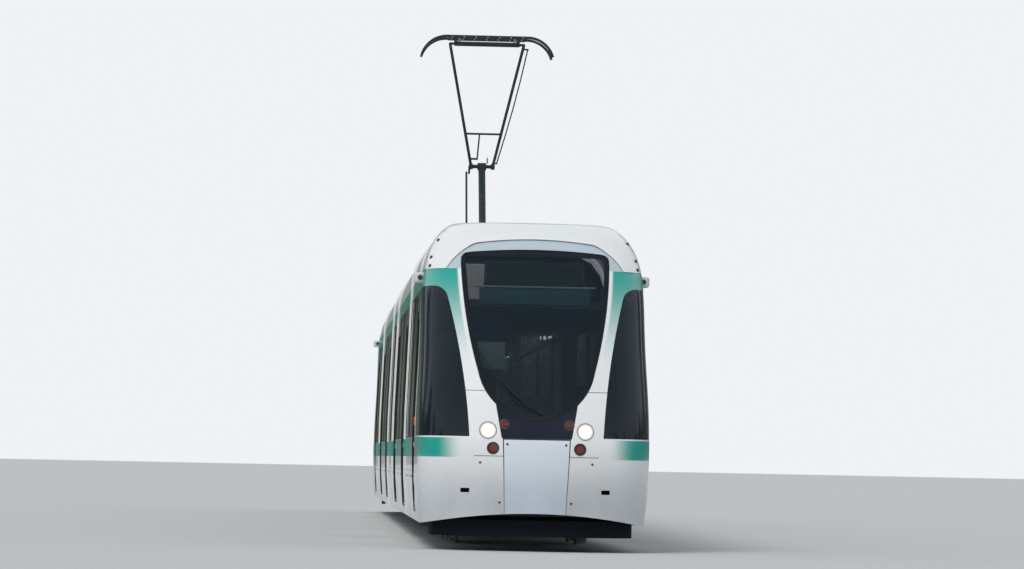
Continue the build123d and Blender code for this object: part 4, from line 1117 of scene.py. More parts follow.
# Saloon fittings: moulded seats in slate blue with cushions in flecked moquette, and steel grab
# rails and lines of light hung from the ceiling.
saloon_finish, tree, shader = finish_of("saloon_plastic", (0.10, 0.17, 0.25), roughness=0.45)
speckle = use_group(tree, mottle, Scale=240.0, Level=0.55, Edge=0.1)
base = mix_of(tree, speckle["Patch"], (0.09, 0.16, 0.24), (0.15, 0.23, 0.32))
tree.links.new(base, shader.inputs["Base Color"])
relief_on(tree, shader, speckle["Relief"], 0.0003)
dress(saloon_finish, "front_cab_interior", "front_link_interior", "centre_interior",
      "rear_link_interior", "rear_cab_interior")

moquette, tree, shader = finish_of("moquette", (0.05, 0.11, 0.22), roughness=0.92)
fleck = use_group(tree, mottle, Scale=60.0, Level=0.60, Edge=0.02)
second_fleck = use_group(tree, mottle, Scale=34.0, Level=0.63, Edge=0.02)
base = mix_of(tree, fleck["Patch"], (0.04, 0.085, 0.19), (0.07, 0.30, 0.30))
tree.links.new(mix_of(tree, second_fleck["Patch"], base, (0.32, 0.34, 0.36)), shader.inputs["Base Color"])
relief_on(tree, shader, grain_in(tree, 900.0, 2.0), 0.0006)


def add_pad(bm, corner, side, run, lift, thick, cells=9):
    """A crowned cushion on a flat patch, its sides drawn in between the corners."""
    corner, side, run, lift = Vector(corner), Vector(side), Vector(run), Vector(lift).normalized()
    grid = []
    for i in range(cells + 1):
        row = []
        for j in range(cells + 1):
            s = 0.5 - 0.5 * math.cos(math.pi * i / cells)
            t = 0.5 - 0.5 * math.cos(math.pi * j / cells)
            crown = ((1 - abs(2 * s - 1) ** 3) * (1 - abs(2 * t - 1) ** 3)) ** 0.38
            pull_s = 0.5 + (s - 0.5) * (1 - 0.035 * (1 - (2 * t - 1) ** 2))
            pull_t = 0.5 + (t - 0.5) * (1 - 0.025 * (1 - (2 * s - 1) ** 2))
            row.append(bm.verts.new(corner + side * pull_s + run * pull_t + lift * thick * crown))
        grid.append(row)
    for first, second in zip(grid, grid[1:]):
        for j in range(cells):
            bm.faces.new((first[j], first[j + 1], second[j + 1], second[j]))
    rim = grid[0] + [row[-1] for row in grid[1:]] + grid[-1][-2::-1] + [row[0] for row in grid[-2:0:-1]]
    bm.faces.new(rim)


podium, link_floor = 0.70, 0.37
podium_bench, link_bench, bench_outer = 0.595, 0.605, 1.075
podium_rows = ((-1.04, 1), (-0.14, -1), (0.14, 1), (1.04, -1))
cab_rows = [(11.0 + x, facing) for x, facing in podium_rows]
link_rows = ((3.9, 1), (5.3, -1), (5.7, 1), (7.1, -1))
pad_edge = 0.015
seat_front, seat_rise, seat_deep, seat_dip, seat_thick = 0.085, 0.434, 0.335, 0.018, 0.032
back_front, back_rise, back_lean, back_tall, back_thick = 0.053, 0.48, 0.103, 0.56, 0.030


def seat_pads(bm, rows, base, inner):
    """Seat and back cushions on moulded benches: rows of place and the way they face."""
    for x, facing in rows:
        for low in (inner + pad_edge, pad_edge - bench_outer):
            wide = (0, bench_outer - inner - 2 * pad_edge, 0)
            add_pad(bm, (x + facing * seat_front, low, base + seat_rise),
                    (facing * seat_deep, 0, -seat_dip), wide, (0, 0, 1), seat_thick)
            add_pad(bm, (x + facing * back_front, low, base + back_rise),
                    (-facing * back_lean, 0, back_tall), wide, (facing, 0, 0.18), back_thick)


for pad in along_tram("seat_pads", moquette, "interior_blue", seat_pads,
                      cab=(cab_rows, podium, podium_bench), link=(link_rows, link_floor, link_bench),
                      centre=(podium_rows, podium, podium_bench), sharp=60):
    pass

rail_y, rail_height, rail_radius = 0.47, 2.30, 0.016
rail_drop, rail_turn, rail_end = 0.03, 0.06, 0.1
hanger_pitch, rail_hanger, hanger_foot = 1.1, 0.012, [(0, 0.03), (0.012, 0.03)]
ceiling = 2.559
strap_low, strap_tall, strap_half, strap_radius, strap_count = 2.13, 0.15, 0.035, 0.006, 4
strap_shape = ((0, 1), (0.35, 0.7), (1, 0.12), (0.9, 0), (-0.9, 0), (-1, 0.12), (-0.35, 0.7), (0, 1))
light_y, light_half, light_low, light_pitch, light_gap = 0.75, 0.06, 2.535, 1.3, 0.03
saloon_spans = {"cab": (9.8, 12.8), "link": (2.2, 8.8), "centre": (-1.3, 1.3)}
rail_steel, tree, shader = finish_of("rail_steel", (0.62, 0.63, 0.64), 1.0, 0.28)
relief_on(tree, shader, grain_in(tree, 350.0, 2.0), 0.0001)
light_panel, tree, shader = finish_of("light_panel", (0.85, 0.88, 0.92), roughness=0.5)
relief_on(tree, shader, grain_in(tree, 120.0), 0.0002)
shader.inputs["Emission Color"].default_value = (0.80, 0.90, 1.0, 1)
shader.inputs["Emission Strength"].default_value = 5.0


def ceiling_rails(bm, x0, x1):
    """Grab rails hung from the ceiling on short brackets, with hanging loops."""
    for side in (-1, 1):
        y = side * rail_y
        dip = rail_height - rail_drop
        add_tube(bm, [(x0, y, dip), (x0 + rail_turn, y, rail_height), (x1 - rail_turn, y, rail_height),
                      (x1, y, dip)], rail_radius)
        count = max(2, round((x1 - x0) / hanger_pitch))
        for i in range(count + 1):
            x = x0 + rail_end + (x1 - x0 - 2 * rail_end) * i / count
            add_tube(bm, [(x, y, rail_height), (x, y, ceiling)], rail_hanger, 8)
            add_lathe(bm, hanger_foot, (x, y, ceiling - hanger_foot[-1][0]), (0, 0, 1), 16)
    for side in (-1, 1):
        for i in range(strap_count):
            x = x0 + (x1 - x0) * (i + 0.5) / strap_count
            strap = [(x - strap_half * s, side * rail_y, strap_low + strap_tall * t) for s, t in strap_shape]
            add_tube(bm, strap, strap_radius, 6)


def ceiling_lights(bm, x0, x1):
    """Two lines of light diffusers under the ceiling."""
    count = max(1, round((x1 - x0) / light_pitch))
    step = (x1 - x0) / count
    for i in range(count):
        for side in (-1, 1):
            y = side * light_y
            add_box(bm, (x0 + i * step + light_gap, y - light_half, light_low),
                    (x0 + (i + 1) * step - light_gap, y + light_half, ceiling), 0.006)


along_tram("grab_rails", rail_steel, "wheel_steel", ceiling_rails, **saloon_spans)
along_tram("ceiling_lights", light_panel, "lamp_glass", ceiling_lights, **saloon_spans)

# Driver's cab: instruments in a dark desk, a smoked visor on a pale rail, a blank line display over
# the windscreen, a blank sign hung behind the glass, low on the vehicle's right, and tinted panes in
# the lights of the partition.
desk_dark, tree, shader = finish_of("desk_dark", (0.03, 0.034, 0.04), roughness=0.55)
relief_on(tree, shader, grain_in(tree, 500.0, 2.0), 0.0004)
screen_glass, tree, shader = finish_of("screen_glass", (0.03, 0.085, 0.075), roughness=0.2, coat=0.4)
relief_on(tree, shader, grain_in(tree, 200.0), 0.0001)
visor_smoke, tree, shader = finish_of("visor_smoke", (0.09, 0.27, 0.33), roughness=0.3)
relief_on(tree, shader, grain_in(tree, 60.0), 0.0002)
sign_card, tree, shader = finish_of("sign_card", (0.30, 0.43, 0.40), roughness=0.6)
relief_on(tree, shader, grain_in(tree, 150.0), 0.0003)
pale_rail, tree, shader = finish_of("pale_rail", (0.70, 0.76, 0.77), roughness=0.4)
relief_on(tree, shader, grain_in(tree, 200.0), 0.0002)
desk_button = [(0, 0.013), (0.012, 0.013), (0.014, 0.009)]
controller = [(0, 0.05), (0.03, 0.045), (0.04, 0.02), (0.11, 0.014), (0.12, 0.028), (0.15, 0.026),
              (0.155, 0.01)]
screen_places, screen_half, screen_low, screen_high = (-0.27, 0.0, 0.27), 0.115, 1.238, 1.294
screen_back, screen_front = 15.150, 15.162
hood_low, hood_high = (15.16, -0.42, 1.231), (15.40, 0.42, 1.30)
controller_foot, button_foot = (15.10, 0.45, 1.19), (15.07, -0.6, 1.205)
button_rows, button_columns, button_step = 2, 8, (0.05, 0.045, 0.035)
display_low, display_high = (14.931, -0.50, 2.79), (14.940, 0.50, 2.99)
visor_low, visor_high = (15.02, -0.58, 2.56), (15.026, 0.58, 2.728)
visor_bar = [(15.03, -0.64, 2.742), (15.03, 0.64, 2.742)]
sign_low, sign_high = (15.50, -0.62, 1.87), (15.506, -0.32, 2.15)
lights_of_partition = ((-0.74, 0.44), (0.0, 0.76), (0.74, 0.44))
pane_back, pane_front, pane_low, pane_high, pane_gap = 13.914, 13.922, 1.201, 2.299, 0.001


def desk_controls(bm):
    """A raised instrument hood, the master controller's handle and rows of push buttons."""
    add_box(bm, hood_low, hood_high, 0.02)
    add_lathe(bm, controller, controller_foot, (0, 0, 1), 24)
    (x, y, z), (step_x, step_y, step_z) = button_foot, button_step
    for i in range(button_columns):
        for j in range(button_rows):
            spot = (x + step_x * j, y + step_y * i, z + step_z * j)
            add_lathe(bm, desk_button, spot, (0, 0, 1), 12)


def cab_screens(bm):
    """Dark display faces: three on the desk hood and the line display's window."""
    for y in screen_places:
        add_box(bm, (screen_back, y - screen_half, screen_low),
                (screen_front, y + screen_half, screen_high), 0.004)
    add_box(bm, display_low, display_high, 0.003)


def partition_panes(bm):
    """Tinted panes in the three lights of the partition behind the driver."""
    for middle, wide in lights_of_partition:
        reach = wide / 2 - pane_gap
        add_box(bm, (pane_back, middle - reach, pane_low), (pane_front, middle + reach, pane_high), 0.002)


partition_glass, tree, shader = tinted_glass("partition_glass", (0.018, 0.040, 0.070), 0.55)
at_both_ends("partition_panes", "cab_section", partition_glass, partition_panes)
at_both_ends("desk_controls", "cab_section", desk_dark, desk_controls)
at_both_ends("cab_screens", "cab_section", screen_glass, cab_screens)
at_both_ends("sun_visor", "cab_section", visor_smoke,
             lambda bm: add_box(bm, visor_low, visor_high, 0.002))
at_both_ends("visor_rail", "cab_section", pale_rail,
             lambda bm: add_tube(bm, visor_bar, 0.011, 12))
at_both_ends("window_sign", "cab_section", sign_card,
             lambda bm: add_box(bm, sign_low, sign_high, 0.002))

# Nose: one glass-fibre moulding in the body's livery. The jade waist fades out towards the lamps,
# the jade at the roof corners fades down the legs beside the windscreen, painted shade darkens the
# apron towards the bottom, and the underside of the brow has painted shade in a blue grey.
waist_start, waist_end = 0.74, 1.02
shield_level, shield_half, shield_lean, shield_curve = 2.0, 0.668, 0.244, -0.114
shield_fade, leg_low, leg_high, apron_low, apron_high = 0.03, 1.85, 2.92, 0.35, 1.15
nose_paint, tree, shader = gloss_paint("nose_paint", 0.25)
x, y, z = place_in(tree)
reach_y = math_step(tree, "ABSOLUTE", y)
waist_reach = ramp_up(tree, reach_y, waist_start, waist_end)
waist_fade = math_step(tree, "MULTIPLY", band_mask(tree, z, *waist), waist_reach)
leg_rise = math_step(tree, "SUBTRACT", z, shield_level)
shield_slope = math_step(tree, "MULTIPLY_ADD", leg_rise, shield_curve, shield_lean)
shield_edge = math_step(tree, "MULTIPLY_ADD", leg_rise, shield_slope, shield_half)
beyond = ramp_up(tree, math_step(tree, "SUBTRACT", reach_y, shield_edge), 0.0, shield_fade)
under_cant = math_step(tree, "LESS_THAN", z, jade_top)
leg_fade = math_step(tree, "MULTIPLY", ramp_up(tree, z, leg_low, leg_high), under_cant)
leg_mask = math_step(tree, "MULTIPLY", beyond, leg_fade)
# Painted shade: the apron darkens to a cool grey towards the bottom.
apron_painted_shade = math_step(tree, "SUBTRACT", 1.0, ramp_up(tree, z, apron_low, apron_high))
base = mix_of(tree, apron_painted_shade, white, (0.60, 0.645, 0.69))
base = mix_of(tree, waist_fade, base, jade)
base = mix_of(tree, leg_mask, base, jade)
brow_low, brow_span, brow_reach = 2.9, 0.4, 0.93
brow_line = ((0.0, 0.875), (0.3, 0.848), (0.5, 0.80), (0.62, 0.762), (0.72, 0.62), (0.80, 0.462),
             (0.87, 0.285), (brow_reach, 0.062))
brow_curve = tree.nodes.new("ShaderNodeFloatCurve")
tree.links.new(reach_y, brow_curve.inputs["Value"])
points = brow_curve.mapping.curves[0].points
points[0].location, points[1].location = brow_line[0], brow_line[-1]
for spot in brow_line[1:-1]:
    points.new(*spot)
brow_curve.mapping.update()
brow_z = math_step(tree, "MULTIPLY_ADD", brow_curve.outputs["Value"], brow_span, brow_low)
over_cant = math_step(tree, "GREATER_THAN", z, jade_top)
under_brow = math_step(tree, "MULTIPLY", math_step(tree, "LESS_THAN", z, brow_z), over_cant)
within_brow = math_step(tree, "LESS_THAN", reach_y, brow_reach)
under_brow = math_step(tree, "MULTIPLY", under_brow, within_brow)
# Painted shade under the brow: a blue grey between the jade cant and the brow line.
brow_painted_shade = math_step(tree, "MULTIPLY", under_brow, 0.75)
base = mix_of(tree, brow_painted_shade, base, (0.40, 0.49, 0.56))
lay_dust(tree, shader, base, 0.2, 0.9, 0.5, 0.25)
cover_top, cover_half, cover_slope = 1.142, 0.336, 0.0412
cover_joint, panel_foot = 0.012, 1.16
level_joints, joint_tall = ((1.640, 1.0), (0.970, 0.64)), 0.006
painted = shader.inputs["Base Color"].links[0].from_socket
over_cover = math_step(tree, "SUBTRACT", z, cover_top)
cover_side = math_step(tree, "MULTIPLY_ADD", over_cover, cover_slope, cover_half)
past_cover = math_step(tree, "SUBTRACT", reach_y, cover_side)
joint_lines = math_step(tree, "MULTIPLY", math_step(tree, "LESS_THAN", past_cover, cover_joint),
                        math_step(tree, "LESS_THAN", z, panel_foot))
for level, reach in level_joints:
    across = band_mask(tree, z, level, level + joint_tall, 0.0008)
    across = math_step(tree, "MULTIPLY", across, math_step(tree, "LESS_THAN", reach_y, reach))
    joint_lines = math_step(tree, "MAXIMUM", joint_lines, across)
tree.links.new(mix_of(tree, joint_lines, painted, (0.022, 0.03, 0.05)), shader.inputs["Base Color"])
dress(nose_paint, "front_cab_nose", "rear_cab_nose")

# Coupler cover: a hinged panel of the same moulding in a cooler white, with painted shade darkening it
# towards the bottom, held by screws at its corners. The apron beside it has two sockets, closed behind by
# pockets.
cover_paint, tree, shader = gloss_paint("cover_paint", 0.25)
# Painted shade: the cover darkens to a deeper blue grey towards the bottom.
cover_painted_shade_fade = ramp_up(tree, place_in(tree)[2], 0.4, 1.1)
cover_colour = mix_of(tree, cover_painted_shade_fade, (0.60, 0.69, 0.79), (0.74, 0.80, 0.86))
lay_dust(tree, shader, cover_colour, 0.2, 0.8, 0.35, 0.25)
dress(cover_paint, "front_cab_coupler_cover", "rear_cab_coupler_cover")


def skin_of(*names):
    """A search tree over the faces of some nodes."""
    points, faces = [], []
    for name in names:
        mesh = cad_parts[name].data
        shift = len(points)
        points += [vertex.co.copy() for vertex in mesh.vertices]
        faces += [[shift + k for k in face.vertices] for face in mesh.polygons]
    return BVHTree.FromPolygons(points, faces)


front_skin = skin_of("front_cab_nose", "front_cab_glazing", "front_cab_mask",
                     "front_cab_coupler_cover", "front_cab_lamps")


def on_front(y, z, proud=0.0):
    """The point of the nose seen from ahead at y and z, raised off the skin, and its outward way."""
    for shift in (0, 0.002, 0.004, 0.008, 0.016):
        start = Vector((20, y - math.copysign(shift, y), z - shift))
        spot, normal, _, _ = front_skin.ray_cast(start, Vector((-1, 0, 0)), 8)
        if spot is not None:
            break
    if normal.x < 0:
        normal = -normal
    return Vector((spot.x, y, z)) + normal * proud, normal


def set_in_nose(bm, places, proud, profile, steps):
    """Equal turned fittings on both sides of the nose, square to its skin."""
    for y, z in places:
        for side in (-1, 1):
            spot, normal = on_front(side * y, z, proud)
            add_lathe(bm, profile, spot, normal, steps)


screw_places = ((0.300, 1.095), (0.366, 0.50), (0.573, 0.905))
screw_head = [(0, 0.012), (0.003, 0.012), (0.004, 0.008)]
marker_places = ((1.0, 3.24), (1.075, 3.05), (1.09, 2.955))
marker = [(0, 0.019), (0.014, 0.018), (0.018, 0.012)]
socket_inner, socket_outer, socket_low, socket_high = 0.66, 0.78, 0.58, 0.66
socket_middle = (socket_inner + socket_outer) / 2
pocket_wall, pocket_deep, pocket_back = 0.012, 0.10, 0.19


def apron_pockets(bm):
    """Closed black pockets behind the two sockets of the apron: a back and four walls."""
    inner_wall, outer_wall = socket_inner + pocket_wall, socket_outer - pocket_wall
    low_wall, high_wall = socket_low + pocket_wall, socket_high - pocket_wall
    for side in (-1, 1):
        spot, _ = on_front(side * socket_middle, socket_high)
        back = spot.x - pocket_back
        for y0, y1, z0, z1, deep in (
                (socket_inner, socket_outer, socket_low, socket_high, pocket_wall),
                (socket_inner, inner_wall, socket_low, socket_high, pocket_deep),
                (outer_wall, socket_outer, socket_low, socket_high, pocket_deep),
                (socket_inner, socket_outer, socket_low, low_wall, pocket_deep),
                (socket_inner, socket_outer, high_wall, socket_high, pocket_deep)):
            near, far = sorted((side * y0, side * y1))
            add_box(bm, (back, near, z0), (back + deep, far, z1))


at_both_ends("apron_pockets", "cab_section", gasket_rubber, apron_pockets)
at_both_ends("nose_screws", "cab_section", seam_finish,
             lambda bm: set_in_nose(bm, screw_places, -0.001, screw_head, 16))
at_both_ends("roof_markers", "cab_section", gasket_rubber,
             lambda bm: set_in_nose(bm, marker_places, -0.004, marker, 14))

# Black panel below the windscreen: a gloss black moulding with a cast of blue, seated in the nose
# between the lamps.
mask_paint, tree, shader = gloss_paint("mask_paint", 0.18)
shader.inputs["Coat Weight"].default_value = 0.0
shader.inputs["Specular IOR Level"].default_value = 0.25
blue_cast = ramp_up(tree, grain_in(tree, 1.2), 0.3, 0.8)
panel_colour = mix_of(tree, blue_cast, (0.009, 0.012, 0.026), (0.014, 0.019, 0.042))
tree.links.new(panel_colour, shader.inputs["Base Color"])
dress(mask_paint, "front_cab_mask", "rear_cab_mask")

# Windscreen seal and wiper: a black rubber bead round the glass, and one long blade on a cranked
# arm, parked along the glass's foot.


def arc_through(first, middle, last, count):
    """Points on the arc through three points of the front view."""
    ux, uy, radius = circle_through(first, middle, last)
    start, mid, end = [math.atan2(z - uy, y - ux) for y, z in (first, middle, last)]
    mid = (mid - start + math.pi) % (2 * math.pi) - math.pi
    end = (end - start + math.pi) % (2 * math.pi) - math.pi
    if mid * end < 0 or abs(end) < abs(mid):
        end += math.copysign(2 * math.pi, mid)
    angles = [start + end * i / count for i in range(count + 1)]
    return [(ux + radius * math.cos(a), uy + radius * math.sin(a)) for a in angles]


def mirrored_y(points):
    """The same points on the other side, in turned order."""
    return [(-y, z) for y, z in points[::-1]]


screen_foot, screen_head = (0, 1.340), (0, 3.130)
corner = [(0.772, 3.045), (0.758, 3.072), (0.730, 3.090)]
foot_arc = arc_through((-screen_knee[0], screen_knee[1]), screen_foot, screen_knee, 28)
side_arc = arc_through(screen_knee, screen_bend, screen_corner, 20)[1:-2]
head_arc = arc_through(screen_corner, screen_head, (-screen_corner[0], screen_corner[1]), 30)[2:-2]
windscreen_edge = foot_arc + side_arc + corner + head_arc + mirrored_y(corner) + mirrored_y(side_arc)
seal_radius, seal_inset = 0.0065, 0.996


def windscreen_seal(bm):
    """A rubber bead along the edge of the windscreen."""
    loop = [on_front(y * seal_inset, z, -0.001)[0] for y, z in windscreen_edge]
    add_tube(bm, loop + [loop[0]], seal_radius, 6)


hub_spot_y, hub_spot_z = 0.03, 1.415
wiper_hub = [(0, 0.024), (0.02, 0.024), (0.03, 0.016), (0.036, 0.010)]
arm_across, arm_up, arm_radius = 0.43, 0.36, 0.007
blade_start_y, blade_start_z = -0.11, 1.475
blade_across, blade_up, blade_radius, blade_bow = 0.50, 0.62, 0.0075, 1.5
arm_bow, arm_off, arm_fall, blade_off, blade_steps = 1.35, 0.03, 0.008, 0.008, 10


def wiper(bm):
    """Pivot, cranked arm and blade on the windscreen."""
    hub, normal = on_front(hub_spot_y, hub_spot_z)
    add_lathe(bm, wiper_hub, hub, normal, 20)
    arm = [on_front(hub_spot_y - arm_across * s, hub_spot_z + arm_up * s ** arm_bow,
                    arm_off - arm_fall * s)[0] for s in (0, 0.25, 0.5, 0.75, 1)]
    add_tube(bm, arm, arm_radius, 8)
    shares = [i / blade_steps for i in range(blade_steps + 1)]
    blade = [on_front(blade_start_y - blade_across * s, blade_start_z + blade_up * s ** blade_bow,
                      blade_off)[0] for s in shares]
    add_tube(bm, blade, blade_radius, 6)


at_both_ends("windscreen_seal", "cab_section", gasket_rubber, windscreen_seal, 60)
at_both_ends("wiper", "cab_section", gasket_rubber, wiper, 60)

# Lamps: polycarbonate lenses flush with the nose in dark rings. The headlamps burn warm white, the
# tail lamps are dark red, and raised orange turn lamps sit on the flanks.
head_lamp, tail_lamp, amber_lamp = (0.498, 1.236, 0.085), (0.445, 1.054, 0.060), (0.333, 1.300, 0.048)
tail_top, flank_start = 1.13, 1.0
glow_start, tail_inner, tail_outer, ridge_pitch = 0.02, 0.034, 0.044, 700.0
ring_steps, ring_shape = 40, ((-0.002, 0.001), (0.0, 0.003), (0.003, 0.003), (0.005, -0.001))
lamp_finish, tree, shader = finish_of("lamp_lens", (0.9, 0.88, 0.82), roughness=0.08, coat=0.6)
x, y, z = place_in(tree)
reach_y = math_step(tree, "ABSOLUTE", y)
off_y = math_step(tree, "SUBTRACT", reach_y, head_lamp[0])
off_z = math_step(tree, "SUBTRACT", z, head_lamp[1])
square_y, square_z = math_step(tree, "MULTIPLY", off_y, off_y), math_step(tree, "MULTIPLY", off_z, off_z)
distance = math_step(tree, "SQRT", math_step(tree, "ADD", square_y, square_z))
is_tail = math_step(tree, "LESS_THAN", z, tail_top)
is_turn = math_step(tree, "GREATER_THAN", reach_y, flank_start)
is_head = math_step(tree, "SUBTRACT", 1.0, math_step(tree, "MAXIMUM", is_tail, is_turn))
glow = math_step(tree, "SUBTRACT", 1.0, ramp_up(tree, distance, glow_start, head_lamp[2]))
base = mix_of(tree, glow, (0.55, 0.54, 0.52), (0.75, 0.72, 0.66))
tail_y = math_step(tree, "SUBTRACT", reach_y, tail_lamp[0])
tail_z = math_step(tree, "SUBTRACT", z, tail_lamp[1])
tail_square = math_step(tree, "MULTIPLY_ADD", tail_y, tail_y, math_step(tree, "MULTIPLY", tail_z, tail_z))
tail_rim = ramp_up(tree, math_step(tree, "SQRT", tail_square), tail_inner, tail_outer)
tail_red = mix_of(tree, tail_rim, (0.16, 0.022, 0.018), (0.045, 0.010, 0.012))
base = mix_of(tree, is_tail, base, tail_red)
base = mix_of(tree, is_turn, base, (0.75, 0.16, 0.01))
tree.links.new(base, shader.inputs["Base Color"])
tree.links.new(mix_of(tree, is_head, (0.9, 0.16, 0.04), (1.0, 0.90, 0.68)), shader.inputs["Emission Color"])
strength = math_step(tree, "MULTIPLY", is_head, math_step(tree, "MULTIPLY_ADD", glow, 1.6, 0.12))
tree.links.new(math_step(tree, "MULTIPLY_ADD", is_turn, 0.12, strength), shader.inputs["Emission Strength"])
ridges = math_step(tree, "SINE", math_step(tree, "MULTIPLY", distance, ridge_pitch))
relief_on(tree, shader, ridges, 0.0006)
dress(lamp_finish, "front_cab_lamps", "rear_cab_lamps")


def lamp_rings(bm):
    """Thin rings that follow the nose round each lamp."""
    for y, z, radius in (head_lamp, tail_lamp, amber_lamp):
        for side in (-1, 1):
            loops = []
            for grow, proud in ring_shape:
                loop = []
                for k in range(ring_steps):
                    angle = 2 * math.pi * k / ring_steps
                    spot, _ = on_front(side * y + (radius + grow) * math.cos(angle),
                                       z + (radius + grow) * math.sin(angle), proud)
                    loop.append(bm.verts.new(spot))
                loops.append(loop)
            bridge(bm, loops + loops[:1])


ring_grey, tree, shader = finish_of("ring_grey", (0.09, 0.09, 0.095), roughness=0.4)
relief_on(tree, shader, grain_in(tree, 300.0), 0.0001)
amber_lens, tree, shader = finish_of("amber_lens", (0.10, 0.022, 0.012), roughness=0.2, coat=0.2)
relief_on(tree, shader, grain_in(tree, 120.0, 1.0), 0.0008)
at_both_ends("lamp_rings", "cab_section", ring_grey, lamp_rings, 60)
amber_profile = [(0, amber_lamp[2]), (0.006, amber_lamp[2]), (0.011, 0.036), (0.013, 0.014)]
at_both_ends("front_turn_lamps", "cab_section", amber_lens,
             lambda bm: set_in_nose(bm, [amber_lamp[:2]], -0.004, amber_profile, 32), 60)

# Camera pods: grey plastic housings on the roof corners that stand in for mirrors, each with a dark
# lens fore and aft.
pod_finish, tree, shader = finish_of("pod_plastic", (0.66, 0.67, 0.71), roughness=0.4)
relief_on(tree, shader, grain_in(tree, 300.0), 0.0002)
dress(pod_finish, "front_cab_cameras", "rear_cab_cameras")
pod_y, pod_height, pod_faces = 1.185, 2.845, ((14.40, 1), (14.16, -1))
pod_lens = [(-0.004, 0.026), (0.006, 0.026), (0.008, 0.020), (0.003, 0.018), (0.003, 0.004)]


def pod_lenses(bm):
    """Lens rings on the ends of the pods."""
    for side in (-1, 1):
        for x, way in pod_faces:
            add_lathe(bm, pod_lens, (x, side * pod_y, pod_height), (way, 0, 0), 24)


at_both_ends("pod_lenses", "cab_section", screen_glass, pod_lenses, 50)

# Pantograph: welded steel tubes in dark grey on ribbed insulators, with carbon strips on the two
# collector bars, a copper shunt over the knuckle and a thin rod that keeps the head level.
pantograph_paint = worn_metal("pantograph_paint", (0.016, 0.026, 0.034), (0.05, 0.055, 0.06), 0.5,
                              scale=8.0, level=0.62, dust=0.0)
dress(pantograph_paint, "pantograph_base", "pantograph_lower_arm", "pantograph_tie_rod",
      "pantograph_upper_arm", "pantograph_head")
shed_silicone, tree, shader = finish_of("shed_silicone", (0.20, 0.07, 0.05), roughness=0.5)
relief_on(tree, shader, grain_in(tree, 200.0), 0.0003)
carbon, tree, shader = finish_of("carbon", (0.035, 0.035, 0.037), roughness=0.55)
relief_on(tree, shader, grain_in(tree, 160.0, 3.0, (1, 0.1, 1)), 0.0004)
copper, tree, shader = finish_of("copper", (0.48, 0.20, 0.10), 1.0, 0.42)
relief_on(tree, shader, grain_in(tree, 600.0, 1.0), 0.0006)
shaft_height = 3.64
arm_foot = Vector((0.5, 0, shaft_height))
lower_length, upper_length = 1.690, 1.904
lower_angle, upper_angle = math.radians(127), math.radians(57.7)
lower_way = Vector((math.cos(lower_angle), 0, math.sin(lower_angle)))
upper_way = Vector((math.cos(upper_angle), 0, math.sin(upper_angle)))
knuckle = arm_foot + lower_way * lower_length
head_pivot = knuckle + upper_way * upper_length
head_top = head_pivot.z + 0.1
post_x, post_y, post_foot = (-0.9, 0.77), 0.41, 3.45
sheds = [(0.002, 0.046), (0.006, 0.064), (0.010, 0.064), (0.014, 0.047), (0.018, 0.064),
         (0.023, 0.064), (0.027, 0.047), (0.031, 0.064), (0.036, 0.064), (0.040, 0.047), (0.048, 0.046)]


def insulators(bm):
    """Sheds round the four posts under the base frame."""
    for x in post_x:
        for y in (-post_y, post_y):
            add_lathe(bm, sheds, (x, y, post_foot), (0, 0, 1), 28)


def add_spring(bm, start, end, radius, wire, turns):
    """A coil spring between two points."""
    start, end = Vector(start), Vector(end)
    way = (end - start).normalized()
    side = way.orthogonal().normalized()
    across = way.cross(side)
    steps = turns * 12
    path = []
    for i in range(steps + 1):
        angle = 2 * math.pi * i / 12
        spoke = side * math.cos(angle) + across * math.sin(angle)
        path.append(start + (end - start) * i / steps + spoke * radius)
    add_tube(bm, path, wire, 6)


spring_y, bellows_foot, rod_start, rod_end, rod_radius = 0.16, -0.12, 0.11, 0.40, 0.012
bracket_low, bracket_high = (-0.16, spring_y - 0.04, 3.49), (-0.10, spring_y + 0.04, 3.66)
air_spring = [(0, 0.03), (0.05, 0.075), (0.09, 0.09), (0.14, 0.09), (0.18, 0.075), (0.23, 0.03)]
air_hose = [(-0.09, 0.24, 3.62), (-0.05, 0.33, 3.60), (0.05, 0.40, 3.56), (0.2, 0.41, 3.552)]
hose_radius = 0.010
stop_y, stop_half, stop_back, stop_front, stop_low, stop_high = 0.30, 0.03, -0.93, -0.90, 3.551, 3.62


def base_fittings(bm):
    """Air spring with its rod, bracket and hose, and the two stops for the folded arm."""
    add_lathe(bm, air_spring, (bellows_foot, spring_y, shaft_height), (1, 0, 0), 28)
    add_tube(bm, [(rod_start, spring_y, shaft_height), (rod_end, spring_y, shaft_height)], rod_radius)
    add_box(bm, bracket_low, bracket_high, 0.008)
    add_tube(bm, air_hose, hose_radius, 8)
    for y in (-stop_y, stop_y):
        add_box(bm, (stop_back, y - stop_half, stop_low), (stop_front, y + stop_half, stop_high), 0.008)


shunt_y, shunt_reach, shunt_rise, shunt_slack = 0.075, 0.10, 0.05, 0.07
braid_radius, braid_steps = 0.008, 12


def knuckle_shunt(bm):
    """A slack loop of copper braid over the knuckle."""
    points = []
    for i in range(braid_steps + 1):
        s = i / braid_steps
        height = shunt_rise + shunt_slack * math.sin(math.pi * s)
        points.append(knuckle + Vector((shunt_reach * (s - 0.5), shunt_y, height)))
    add_tube(bm, points, braid_radius, 6)


bar_x, strip_half, strip_reach, strip_thick = 0.2, 0.022, 0.515, 0.020
cradle_x, cradle_y, cradle_spread = 0.12, 0.38, 1.5
coil_foot, coil_top, coil_radius, coil_wire, coil_turns = 0.02, 0.036, 0.016, 0.0035, 5
strip_clips, strip_clip_step, strip_clip_start = 7, 0.16, -0.48
strip_clip_x, strip_clip_y, strip_clip_low, strip_clip_high = 0.025, 0.008, 0.035, 0.012


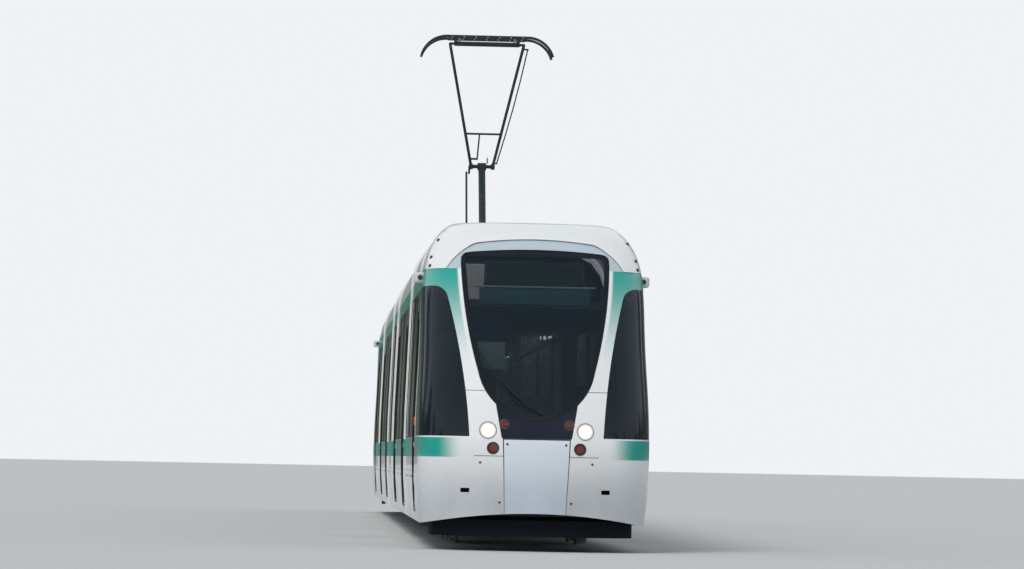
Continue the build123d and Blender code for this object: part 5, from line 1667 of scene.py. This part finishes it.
def carbon_strips(bm):
    """Carbon strips clipped along the tops of both bars."""
    for x in (-bar_x, bar_x):
        middle = head_pivot.x + x
        add_box(bm, (middle - strip_half, -strip_reach, head_top - strip_thick),
                (middle + strip_half, strip_reach, head_top + 0.001), 0.004)


def head_springs(bm):
    """Coil springs between the cradles and the bars, and the clips of the strips."""
    for x in (-cradle_x, cradle_x):
        for y in (-cradle_y, cradle_y):
            foot = (head_pivot.x + x, y, head_pivot.z + coil_foot)
            top = (head_pivot.x + x * cradle_spread, y, head_top - coil_top)
            add_spring(bm, foot, top, coil_radius, coil_wire, coil_turns)
    for x in (-bar_x, bar_x):
        middle = head_pivot.x + x
        for i in range(strip_clips):
            y = strip_clip_start + strip_clip_step * i
            add_box(bm, (middle - strip_clip_x, y - strip_clip_y, head_top - strip_clip_low),
                    (middle + strip_clip_x, y + strip_clip_y, head_top - strip_clip_high), 0.002)


rod_foot, rod_head, rod_bow = (-0.035, 0.205, 0.05), (-0.045, 0.56, -0.055), (0, 0.045, 0.02)
level_rod_radius, rod_eyes, eye_lap, rod_eye_radius = 0.009, (0.15, 0.49), 0.012, 0.011
damper_at, brace_share, damper_radius, pin_radius = 0.12, 0.27, 0.011, 0.014
damper_y, brace_y, pin_outer, pin_inner = -0.07, -0.05, -0.158, -0.06


def level_rod(bm):
    """The thin rod outside the upper arm's left tube, and the damper between the tubes."""
    start, end = knuckle + Vector(rod_foot), head_pivot + Vector(rod_head)
    bow = (start + end) / 2 + Vector(rod_bow)
    path = [start * (1 - s) ** 2 + bow * 2 * s * (1 - s) + end * s ** 2 for s in (0, 0.25, 0.5, 0.75, 1)]
    add_tube(bm, path, level_rod_radius, 8)
    for spot, inner_y in zip((start, end), rod_eyes):
        add_tube(bm, [(spot.x, inner_y, spot.z), (spot.x, spot.y + eye_lap, spot.z)], rod_eye_radius)
    brace = knuckle + upper_way * (upper_length * brace_share)
    damper = knuckle + upper_way * damper_at
    add_tube(bm, [damper + Vector((0, damper_y, 0)), brace + Vector((0, brace_y, 0))], damper_radius)
    add_tube(bm, [damper + Vector((0, pin_outer, 0)), damper + Vector((0, pin_inner, 0))], pin_radius)


piece_from("insulator_sheds", "centre_section", shed_silicone, insulators, 30)
piece_from("pantograph_drive", "centre_section", pantograph_paint, base_fittings)
piece_from("carbon_strips", "pantograph_collector", carbon, carbon_strips)
piece_from("head_springs", "pantograph_collector", bolt_steel, head_springs, 60)
piece_from("level_rod", "pantograph_upper", pantograph_paint, level_rod, 60)
piece_from("knuckle_shunt", "pantograph_lower", copper, knuckle_shunt, 60)
